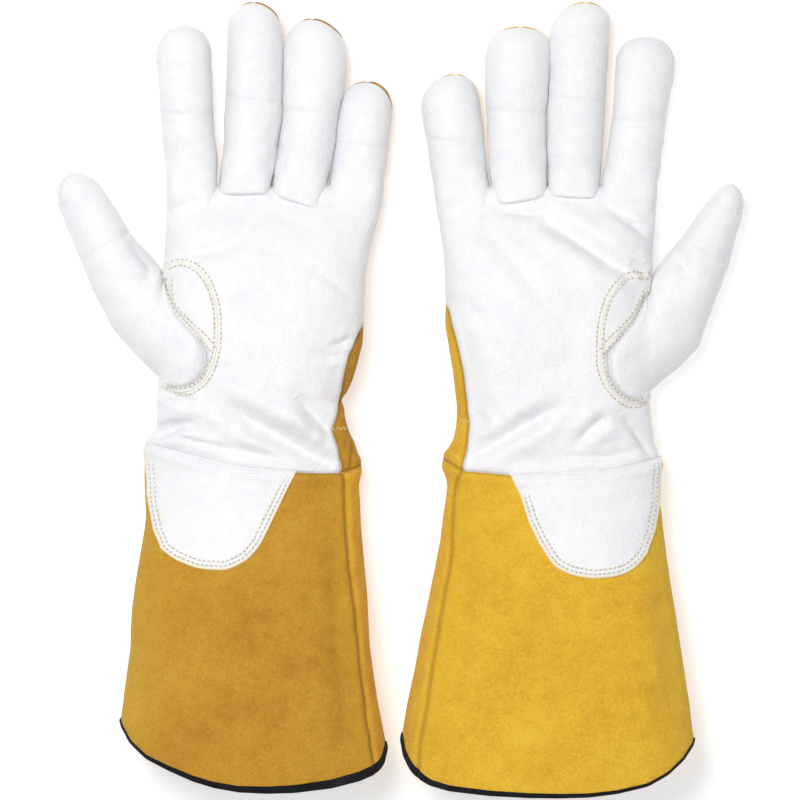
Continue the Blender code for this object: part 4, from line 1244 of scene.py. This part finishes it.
def details(side, body):
    g = PATTERN[side]
    left = side == "left"
    # heel patch, U-shaped
    la = sorted(g["patch_left"])
    rb = sorted(g["patch_right"])
    u_a = [(u, v) for v, u in la]
    u_b = [(u, v) for v, u in rb]
    wrist_line = []
    u0, u1 = u_a[0][0], u_b[0][0]
    us = np.linspace(u0, u1, 30)
    top_edge = [(float(u), float(body.wrist_v(u)) - 1.2) for u in us]
    lower = [p for p in u_a if p[1] > body.wrist_v(p[0]) + 3]
    lower_b = [p for p in u_b if p[1] > body.wrist_v(p[0]) + 3]
    boundary = top_edge + lower_b + lower[::-1]
    centre = (222, 505) if left else (592, 512)
    ob, G, P, N = patch(body, side + "_patch", boundary, centre, int(80 / FINE), 0.0011, WHITE,
                        rim=2.4, edge_tint=1.0, shade=0.35, tint_line=body.wrist_v,
                        seam_rows=((3.4, 0.35, 0.9), (7.8, 0.35, 0.9)))
    blend_wrist(ob)
    done(ob, "white_goatskin", side + "_heel_patch")
    # two rows of stitches inside its edge
    outline = lower[:] + lower_b[::-1]
    inside = -1 if True else 1
    parts = []
    for k, off in enumerate((3.4, 7.8)):
        for s_try in (1, -1):
            path = offset_path(outline, off * s_try)
            m = path[len(path) // 2]
            if m[1] < g["patch_bottom"]:
                break
        path = path[(path[:, 1] > body.wrist_v(path[:, 0]) + 2)]
        at, tan = run(path, 4.7, 0.5)
        P, T, N = surface_frame(body, at, tan, 0.00105)
        parts.append((P, T, N))
    P, T, N = (np.concatenate([p[i] for p in parts]) for i in range(3))
    ob = beads(side + "_patch_stitches", P, T, N, 0.0018, 0.00046, 0.00040, THREAD)
    blend_wrist(ob)
    done(ob, "cream_thread", side + "_patch_stitching")
    # painted shade in the needle holes: grey beads just past one end of each stitch
    hp = []
    for P_, T_, N_ in parts:
        Tn = T_ / np.linalg.norm(T_, axis=1, keepdims=True)
        hp.append((P_ + Tn * 0.00112 + N_ * 0.00002, T_, N_))
    P, T, N = (np.concatenate([p[i] for p in hp]) for i in range(3))
    ob = beads(side + "_patch_hole_shade", P, T, N, 0.00070, 0.00040, 0.00026, HOLE_SHADE)
    blend_wrist(ob)

    # thumb gusset
    edge = g["gusset_edge"]
    under = [(172, 370), (170, 330), (168, 295)] if left else [(641, 380), (643, 340), (645, 305)]
    boundary = edge + under
    centre = (193, 330) if left else (622, 338)
    ob, G, P, N = patch(body, side + "_gusset", boundary, centre, int(60 / FINE), 0.0007, WHITE,
                        rim=5.0, edge_tint=0.20, shade=1.0, band=g["thumb_seam"], seam_rows=((3.2, 0.3, 1.0),))
    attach(ob, side + "_hand")
    done(ob, "white_goatskin", side + "_thumb_gusset")
    parts = []
    for off, lift in ((3.4, 0.0001), (-3.1, 0.0007)):
        path = offset_path(edge, off if left else -off)
        at, tan = run(path, 4.8, 0.4)
        parts.append(surface_frame(body, at, tan, lift))
    for off in (-2.9, 2.9):
        path = offset_path(g["thumb_seam"], off)
        at, tan = run(path, 4.8, 0.4)
        parts.append(surface_frame(body, at, tan, 0.0007))
    P, T, N = (np.concatenate([p[i] for p in parts]) for i in range(3))
    ob = beads(side + "_gusset_stitches", P, T, N, 0.0018, 0.00048, 0.00042, THREAD)
    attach(ob, side + "_hand")
    done(ob, "cream_thread", side + "_gusset_stitching")
    # painted shade in the needle holes: grey beads just past one end of each stitch
    hp = []
    for P_, T_, N_ in parts:
        Tn = T_ / np.linalg.norm(T_, axis=1, keepdims=True)
        hp.append((P_ + Tn * 0.00115 + N_ * 0.00002, T_, N_))
    P, T, N = (np.concatenate([p[i] for p in hp]) for i in range(3))
    ob = beads(side + "_gusset_hole_shade", P, T, N, 0.00072, 0.00042, 0.00026, HOLE_SHADE)
    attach(ob, side + "_hand")

    # ends of the elastic's zigzag, at the gold side strip
    ev = g["elastic"]
    us = np.linspace(334, 344, 7) if left else np.linspace(459.5, 468, 6)
    zz = []
    for k, u in enumerate(us):
        zz.append((u, ev + (2.0 if k % 2 else -2.0)))
    at = np.array([((a[0] + b[0]) / 2, (a[1] + b[1]) / 2) for a, b in zip(zz[:-1], zz[1:])])
    tan = np.array([(b[0] - a[0], b[1] - a[1]) for a, b in zip(zz[:-1], zz[1:])])
    P, T, N = surface_frame(body, at, tan, 0.0003)
    ob = beads(side + "_elastic_ends", P, T, N, 0.0021, 0.00030, 0.00026, ELASTIC)
    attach(ob, side + "_hand")
    done(ob, "elastic", side + "_wrist_elastic")


# ---------------------------------------------------------------- fingers
class Finger:
    def __init__(self, side, name, body):
        g = PATTERN[side]["fingers"][name]
        self.side, self.name, self.body = side, name, body
        self.tip_u, self.tip_v = g["tip"]
        sq = lambda v: np.sqrt(np.maximum(v - self.tip_v, 0))
        self.sl = Line([(0, self.tip_u)] + [(sq(v), u) for v, u in g["left"] if v > self.tip_v + 0.5], 0.35, 0.05)
        self.sr = Line([(0, self.tip_u)] + [(sq(v), u) for v, u in g["right"] if v > self.tip_v + 0.5], 0.35, 0.05)
        self.round = g["round"]
        self.knuckle = g["knuckle"]
        self.base = g.get("base")
        tip_h = {"index": (25.0, 23.0), "middle": (25.5, 24.0), "ring": (25.5, 24.0), "little": (24.5, 22.5)}[name]
        self.h = lambda v: np.interp(v, [self.tip_v, 201, 235], [tip_h[1], tip_h[0], tip_h[0] + 0.6]) * MM

    def section(self, v, phi):
        """Point of the finger's skin at pattern row v and girth angle phi."""
        s = np.sqrt(np.maximum(v - self.tip_v, 0))
        ul, ur = self.sl(s), self.sr(s)
        xc, a = (X(ul) + X(ur)) / 2, (X(ur) - X(ul)) / 2
        into = np.clip((v - 200.0) / 20.0, 0, 1)
        a = a - 1.3 * UNIT * into * into * (3 - 2 * into)
        h = self.h(v)
        R = self.round * 1.25
        k = np.clip(1 - (v - self.tip_v) / R, 0, 1)
        gdome = np.clip(1 - k ** 2.15, 0, 1) ** (1 / 2.15)
        k = np.clip((v - 158.0) / 34.0, 0, 1)
        e = 2.25 + 1.75 * k * k * (3 - 2 * k)
        c, sn = se_pow(np.cos(phi), e), se_pow(np.sin(phi), e)
        b = np.where(np.sin(phi) >= 0, 0.54 * h, 0.46 * h)
        z = 0.46 * h + b * sn * gdome
        x = xc + a * c
        P = np.stack([x, Y(v) + 0 * x, z], -1)
        return P

    def skin(self, v, phi):
        P = self.section(v, phi)
        return P


def finger(side, name, body):
    f = Finger(side, name, body)
    left = side == "left"
    white, gold = WHITE, GOLD[side]
    seed = {"index": 11, "middle": 12, "ring": 13, "little": 14}[name] + (0 if left else 5)
    v_root = 226.0
    nrow = int(250 / FINE)
    ncol = int(96 / FINE)

    def full(vcols, phicols):
        """Displaced skin for grids of v and phi, with normals."""
        P = f.section(vcols, phicols)
        return P

    def relief(P, N, v, phi):
        sn = np.sin(phi)
        topw = np.clip(sn * 1.6, 0, 1)
        D = MM * (0.30 * ripple(P, 0.030, seed) + 0.16 * ripple(P, 0.011, seed + 3))
        kv = f.knuckle
        D = D - MM * 0.55 * topw * np.exp(-((v - kv - 3 * np.cos(phi * 1.0)) / 3.5) ** 2)
        D = D + MM * 0.30 * topw * (np.exp(-((v - kv + 13) / 9) ** 2) + np.exp(-((v - kv - 15) / 10) ** 2))
        tip = np.clip((v - f.tip_v) / 14.0, 0.15, 1)
        return D * tip

    def build(tag, phi_a, phi_b, v_start, v_end, material, seam_edges, nodes, slot, puff=None):
        """phi_a, phi_b: functions of v; v_start, v_end functions of u."""
        t = np.linspace(0, 1, nrow)[:, None]
        t = 0.5 * t + 0.5 * (1 - np.cos(t * math.pi / 2))      # denser at the tip
        s = np.linspace(0, 1, ncol)[None, :]
        v = 150 + 0 * t * s
        for _ in range(10):
            phi = phi_a(v) * (1 - s) + phi_b(v) * s
            P = f.section(v, phi)
            u = P[..., 0] / UNIT + 400
            va, vb = v_start(u), v_end(u)
            v = 0.3 * v + 0.7 * (va * (1 - t) + vb * t)
        phi = phi_a(v) * (1 - s) + phi_b(v) * s
        P = f.section(v, phi)
        N = normals_of(P)
        D = relief(P, N, v, phi)
        # sewn edges turn in
        span = np.linalg.norm(np.diff(P, axis=1), axis=-1)
        dist = np.concatenate([np.zeros((nrow, 1)), np.cumsum(span, 1)], 1)
        edge_d = np.minimum(dist, dist[:, -1:] - dist) if seam_edges else np.full(dist.shape, 1.0)
        # painted shade along the sewn edges, in the seam shade attribute
        A = 0.9 * np.exp(-(edge_d / 0.0009) ** 2)
        D = D - MM * 0.75 * np.exp(-(edge_d / 0.0008) ** 2) + MM * 0.25 * np.exp(-((edge_d - 0.003) / 0.002) ** 2)
        if puff is not None:
            bv = puff(u)
            db = np.maximum(bv - v, 0)
            drop = MM * (0.55 * np.exp(-((db - 6.5) / 5.0) ** 2) - 3.2 * np.exp(-(db / 1.7) ** 2))
            # painted shadow under the puffed finger base, where it overlaps the palm
            A = np.maximum(A, 0.9 * np.exp(-(db / 1.8) ** 2))
        else:
            drop = 0.0
        P = P + N * D[..., None]
        P[..., 2] += drop * np.clip(np.sin(phi) * 2.0, 0, 1)
        if name in ("index", "little") and tag in ("skin", "front"):
            # the palm's leather runs on into these two fingers
            w = np.clip((v - 194.0) / 26.0, 0, 1)
            w = w * w * (3 - 2 * w)
            Pt, _ = body.top(u, np.clip(v, 200, 300), 0.0003)
            low = P[..., 2] * (body.height(v) * MM / f.h(v))
            target = np.where(np.sin(phi) >= 0, Pt[..., 2], low)
            dive = MM * 1.6 * np.clip((v - 221.0) / 5.0, 0, 1) ** 1.5
            P[..., 2] = P[..., 2] * (1 - w) + target * w - dive
        P[..., 2] = np.maximum(P[..., 2], 0.0004)
        N = normals_of(P)
        if tag in ("skin", "back"):
            P[0] = P[0].mean(0)
            N[0] = (0.0, 1.0, 0.0)
        # split at the knuckle: rows up to and after the row nearest to it
        split = f.knuckle + 38 if name != "little" else f.knuckle + 20
        mean_v = v.mean(1)
        k = int(np.argmin(abs(mean_v - split)))
        E = np.zeros_like(A)
        made = []
        for part, sl in (("tip", slice(0, k + 1)), ("base", slice(k, nrow))):
            ob = sheet(f"{side}_{name}_{tag}_{part}", P[sl], N[sl], material, attrs={"seam": A[sl], "edge": E[sl]})
            made.append(ob)
            if part == "tip" and name == "index":
                tip_seam(f"{side}_index_seam", side, P[sl], N[sl], TIP_SEAMS[side]["index"], f"{side}_index_tip")
            if part == "tip":
                w = 0.008 if name == "little" else 0.010
                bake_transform(ob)
            else:
                w = 0.014 if name == "little" else 0.018
                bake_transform(ob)
            done(ob, slot, nodes[0] if part == "tip" else nodes[1])
        return made

    tip_v = f.tip_v
    zero = lambda v: np.zeros(np.shape(v))
    if name == "index":
        start = lambda u: np.full(np.shape(u), tip_v + 0.02)
        end = lambda u: np.full(np.shape(u), v_root)
        pa = lambda v: np.full(np.shape(v), -math.pi / 2)
        pb = lambda v: np.full(np.shape(v), 1.5 * math.pi)
        build("skin", pa, pb, start, end, white, False,
              (f"{side}_index_tip_sleeve", f"{side}_index_base_sleeve"), "white_goatskin")
        return f
    # front and back panels; the back comes over the tip and one side
    lean = 1 if left else (1 if name == "middle" else 0)
    over = {"middle": 0.8, "ring": 0.9, "little": 0.8 if left else 0.2}[name]
    right_bump = 0.62 if left else {"middle": 0.10, "ring": 0.12, "little": -0.05}[name]
    left_bump = -0.05 if left else {"middle": 0.15, "ring": 0.10, "little": -0.05}[name]
    reach = 17.0 if name != "little" else 22.0
    v_f = tip_v + over

    def seam_r(v):
        d = np.maximum(v - v_f, 0)
        base = -0.12 + right_bump * np.exp(-(d / reach) ** 2)
        return base + (math.pi / 2 - base) * np.exp(-(d / 1.6) ** 0.9)

    def seam_l(v):
        d = np.maximum(v - v_f, 0)
        base = -0.12 + left_bump * np.exp(-(d / reach) ** 2)
        return math.pi - (base + (math.pi / 2 - base) * np.exp(-(d / 1.6) ** 0.9))

    if f.base is not None:
        bp = np.array(f.base, float)
        base_v = lambda u: np.interp(u, bp[:, 0], bp[:, 1])
        puff = lambda u: base_v(u) + 3.0
        end_front = lambda u: base_v(u) + 3.0
    else:
        end_front = lambda u: np.full(np.shape(u), v_root)
        puff = None
    build("front", seam_r, seam_l, lambda u: np.full(np.shape(u), v_f + 0.02), end_front, white, True,
          (f"{side}_{name}_tip_front", f"{side}_{name}_base_front"), "white_goatskin", puff)
    build("back", lambda v: seam_l(v), lambda v: 2 * math.pi + seam_r(v),
          lambda u: np.full(np.shape(u), tip_v + 0.02), lambda u: np.full(np.shape(u), v_root),
          gold, True, (f"{side}_{name}_tip_back", f"{side}_{name}_base_back"), "gold_suede")
    return f


# ------------------------------------------------------------------ thumb
def thumb(side, body):
    g = PATTERN[side]
    left = side == "left"
    st = g["thumb"]
    inner = np.array([s[0] for s in st], float)
    outer = np.array([s[1] for s in st], float)
    hh = np.array([s[2] for s in st], float)
    lobe = np.array([s[3] for s in st], float)
    mid = (inner + outer) / 2
    d = np.concatenate([[0], np.cumsum(np.linalg.norm(np.diff(mid, axis=0), axis=1))])
    joint = g["thumb_joint"]
    # the split row: a little before the joint
    split_d = d[g["thumb_split"]]
    step = 1.0 * FINE
    ss = np.linspace(0, d[-1], int(d[-1] / step))
    # finer towards the two rounded ends
    w = ss / d[-1]
    ss = d[-1] * (0.5 - 0.5 * np.cos(w * math.pi)) * 0.55 + ss * 0.45
    def interp(a, sig=1.6):
        out = np.interp(ss, d, a)
        return gauss1(out, sig / FINE)
    I = np.stack([interp(inner[:, k]) for k in range(2)], 1)
    O = np.stack([interp(outer[:, k]) for k in range(2)], 1)
    H = interp(hh, 2.5)
    W = interp(lobe, 2.5)
    ncol = int(120 / FINE) + 1
    phi = np.linspace(-math.pi / 2, 1.5 * math.pi, ncol)
    e = 2.3
    c, sn = se_pow(np.cos(phi), e), se_pow(np.sin(phi), e)
    C = (I + O) / 2
    A = (O - I) / 2
    U = C[:, None, 0] + A[:, None, 0] * c[None, :]
    V = C[:, None, 1] + A[:, None, 1] * c[None, :]
    dome = np.clip(H / 25.5, 0, 1)
    hb = np.maximum(H, 25.5) * MM
    topz = 0.46 * hb[:, None] + np.where(sn[None, :] >= 0, 0.54, 0.46) * hb[:, None] * sn[None, :] * dome[:, None]
    # where the thumb lies on the palm its top is the palm's, plus a dome
    lo, hi = body.left(V), body.right(V)
    Pt, _ = body.top(np.clip(U, lo + 0.3, hi - 0.3), np.clip(V, 200, 460), 0.0)
    outside = np.maximum(lo + 0.3 - U, 0) + np.maximum(U - hi + 0.3, 0)
    palm_z = Pt[..., 2] - MM * 1.5 * outside
    s_pos = np.maximum(sn, 0)[None, :]
    ends = np.clip(ss / 14.0, 0, 1)[:, None] ** 0.6
    over = palm_z + MM * (5.4 * (s_pos ** 0.7) * ends - 1.5) - MM * 45.0 * np.maximum(-sn, 0)[None, :]
    over = over - MM * 60.0 * (1 - np.clip(W * 4, 0, 1))[:, None]
    soft = 0.0016
    Z = soft * np.logaddexp(topz / soft, over / soft)
    P = np.stack([X(U), Y(V), Z], -1)
    N = normals_of(P)
    flip = N[len(ss) // 2, ncol // 2, 2] < 0
    if flip:
        N = -N
    topw = np.clip(sn * 1.6, 0, 1)[None, :]
    D = MM * (0.35 * ripple(P, 0.032, 21 + (0 if left else 3)) + 0.16 * ripple(P, 0.012, 24))
    # soft hollow along the thumb's root, and folds at its joint
    hollow = ([(128, 236), (142, 252), (153, 265), (148, 280), (138, 294)] if left
              else [(671, 255), (682, 261), (687, 268), (684, 281)])
    hp = smooth_path(hollow, 2.0, 3.0)
    dh, th_ = path_distance(U, V, hp)
    D = D + (-MM * 2.3 * np.exp(-(dh / 7.5) ** 2) * np.sin(np.pi * np.clip(th_, 0.04, 0.96)) ** 0.5).reshape(D.shape) * topw
    jm = np.array([(joint[0][0] + joint[1][0]) / 2, (joint[0][1] + joint[1][1]) / 2])
    jd = np.array(joint[1], float) - np.array(joint[0], float)
    jd /= np.linalg.norm(jd)
    along = (U - jm[0]) * -jd[1] + (V - jm[1]) * jd[0]
    D = D - MM * 0.45 * topw * np.exp(-((along) / 3.0) ** 2) + MM * 0.25 * topw * np.exp(-((np.abs(along) - 9) / 5.0) ** 2)
    fade = np.clip(np.minimum(ss, ss[-1] - ss) / 12.0, 0.1, 1)[:, None]
    P = P + N * (D * fade)[..., None]
    P[..., 2] = np.maximum(P[..., 2], 0.0004)
    out = np.array([mid[-1][0] - mid[-3][0], mid[-3][1] - mid[-1][1], 0.0])
    out /= np.linalg.norm(out)
    P[-1] = P[-1].mean(0) + out * 0.0003
    N = normals_of(P)
    if flip:
        N = -N
    N[-1] = out
    k = int(np.argmin(abs(ss - split_d)))
    # the seam along the outer side of the tip is made by tip_seam below; the skin's painted seam shade is all zero
    seamA = np.zeros(P.shape[:2])
    made = {}
    sgn = 1 if left else -1
    for part, sl in (("base", slice(0, k + 1)), ("tip", slice(k, len(ss)))):
        ob = sheet(f"{side}_thumb_{part}_skin", P[sl], N[sl], WHITE, flip=flip,
                   attrs={"seam": seamA[sl], "edge": np.zeros(seamA[sl].shape)})
        if part == "base":
            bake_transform(ob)
        else:
            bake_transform(ob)
        done(ob, "white_goatskin", f"{side}_thumb_{part}_sleeve")
        made[part] = ob
    tip_seam(f"{side}_thumb_seam", side, P[k:], N[k:], TIP_SEAMS[side]["thumb"], f"{side}_thumb_tip")
    return P, N, U, V, ss, k


def grid_frame(P, N, at, tan, lift):
    """Surface places nearest to pattern points, on the upper side."""
    flat, nf = P.reshape(-1, 3), N.reshape(-1, 3)
    keep = nf[:, 2] > 0.05
    flat, nf = flat[keep], nf[keep]
    out_p, out_n = [], []
    for u, v in at:
        d = (flat[:, 0] - float(X(u))) ** 2 + (flat[:, 1] - float(Y(v))) ** 2
        idx = np.argsort(d)[:4]
        w = 1.0 / (np.sqrt(d[idx]) + 1e-4)
        w /= w.sum()
        nn = (nf[idx] * w[:, None]).sum(0)
        nn /= np.linalg.norm(nn)
        out_p.append((flat[idx] * w[:, None]).sum(0) + nn * lift)
        out_n.append(nn)
    P_, N_ = np.array(out_p), np.array(out_n)
    T_ = np.gradient(P_, axis=0)
    return P_, T_, N_


def tip_seam(name, side, P, N, points, body_name, pitch=4.6):
    """The short stitched seam over the end of a finger or thumb."""
    at, tan = run(points, pitch, 0.3)
    if len(at) < 3:
        return
    P_, T_, N_ = grid_frame(P, N, at, tan, 0.0001)
    ob = beads(name + "_stitches", P_, T_, N_, 0.0016, 0.00042, 0.00036, THREAD)
    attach(ob, body_name)
    at, tan = run(points, 1.2, 0.0)
    P_, T_, N_ = grid_frame(P, N, at, tan, -0.0001)
    for k in range(3):
        P_[:, k] = gauss1(P_[:, k], 1.5)
        N_[:, k] = gauss1(N_[:, k], 1.5)
    N_ /= np.linalg.norm(N_, axis=1, keepdims=True)
    T_ = np.gradient(P_, axis=0)
    T_ /= np.linalg.norm(T_, axis=1, keepdims=True)
    B_ = np.cross(T_, N_)
    B_ /= np.linalg.norm(B_, axis=1, keepdims=True)
    inward = np.array([1.0 if B_[len(B_) // 2] @ (N_[len(B_) // 2] * [1, 1, 0]) < 0 else -1.0])
    ang = np.linspace(0, 2 * math.pi, 11)[:-1]
    taper = np.clip(np.minimum(np.arange(len(P_)), np.arange(len(P_))[::-1]) / 4.0, 0.1, 1)
    C_ = P_ - B_ * 0.0011 * inward
    R = 0.0005 * taper[:, None, None]
    Pr = C_[:, None, :] + R * (np.cos(ang)[None, :, None] * B_[:, None, :] + np.sin(ang)[None, :, None] * N_[:, None, :])
    Nr = np.cos(ang)[None, :, None] * B_[:, None, :] + np.sin(ang)[None, :, None] * N_[:, None, :]
    # painted shade: a light seam shade on the ridge; the edge value is the cream cut-edge colour
    ob = sheet(name + "_ridge", Pr, Nr, WHITE, closed=True, flip=True,
               attrs={"seam": np.full(Pr.shape[:2], 0.15), "edge": np.full(Pr.shape[:2], 0.12)})
    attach(ob, body_name)


TIP_SEAMS = {
    "left": {"index": [(173, 29.5), (166, 34), (160.5, 41), (157.5, 50), (157.2, 60), (158, 68)],
             "thumb": [(68, 175.5), (63, 181), (60.2, 189), (60.0, 198), (61.6, 207)]},
    "right": {"index": [(661, 39.8), (667, 44.5), (671, 51), (673.4, 58), (673.6, 65), (672.8, 70)],
              "thumb": [(732.5, 184.5), (735.5, 190), (737.2, 198), (737.4, 207), (736, 217)]}}


# ------------------------------------------------------------------- build
for SIDE in ("left", "right"):
    BODY, HEMLINE, SEAMQ = glove(SIDE)
    details(SIDE, BODY)
    for FINGER in ("index", "middle", "ring", "little"):
        finger(SIDE, FINGER, BODY)
    thumb(SIDE, BODY)


# ------------------------------------------------------------- floor, light
def stage():
    mat, nt, b = nodes_of("studio_floor")
    co = coords(nt)
    tone = noise(nt, co, 6.0, 3.0, 0.5)
    nt.links.new(ramp(nt, tone, [(0.3, srgb(212, 213, 216)), (0.7, srgb(218, 219, 221))]), b.inputs["Base Color"])
    b.inputs["Roughness"].default_value = 0.9
    b.inputs["Specular IOR Level"].default_value = 0.1
    b.inputs["Emission Color"].default_value = (1.0, 1.0, 1.0, 1)
    b.inputs["Emission Strength"].default_value = 0.50
    nt.links.new(bump(nt, noise(nt, co, 900.0, 2.0, 0.5), 0.00003, 0.2), b.inputs["Normal"])
    r = 3.0
    floor = make_mesh("studio_floor_plane", [(-r, -r, 0), (r, -r, 0), (r, r, 0), (-r, r, 0)],
                      [np.array([[0, 1, 2, 3]])], mat, smooth=False)
    world = bpy.data.worlds.new("studio")
    bpy.context.scene.world = world
    world.use_nodes = True
    bg = world.node_tree.nodes["Background"]
    bg.inputs["Color"].default_value = (1.0, 1.0, 1.0, 1)
    bg.inputs["Strength"].default_value = 0.38

    def area(name, loc, size, power, target=(0, 0, 0.02)):
        light = bpy.data.lights.new(name, "AREA")
        light.shape = "DISK"
        light.size = size
        light.energy = power
        ob = bpy.data.objects.new(name, light)
        ob.location = loc
        dx, dy, dz = [t - l for t, l in zip(target, loc)]
        far = math.sqrt(dx * dx + dy * dy + dz * dz)
        ob.rotation_euler = (math.acos(-dz / far), 0.0, math.atan2(-dx, dy))
        bpy.context.scene.collection.objects.link(ob)

    area("top", (-0.36, 0.34, 1.8), 0.75, 20.5)
    area("key", (-0.7, 1.0, 1.5), 0.9, 5.0)
    area("fill", (1.0, -0.4, 1.5), 1.0, 3.0)
    cam = bpy.data.cameras.new("camera")
    cam.type = "PERSP"
    cam.sensor_width = 36.0
    dist = 10.0
    cam.lens = 36.0 * (dist - 0.035) / (800 * UNIT)
    cam.clip_end = 60.0
    ob = bpy.data.objects.new("camera", cam)
    ob.location = (0.0, 0.0, dist)
    ob.rotation_euler = (0.0, 0.0, 0.0)
    bpy.context.scene.collection.objects.link(ob)
    bpy.context.scene.camera = ob
    bpy.context.scene.view_settings.view_transform = "Standard"
    bpy.context.scene.view_settings.look = "None"
    bpy.context.scene.view_settings.exposure = 0.0


stage()
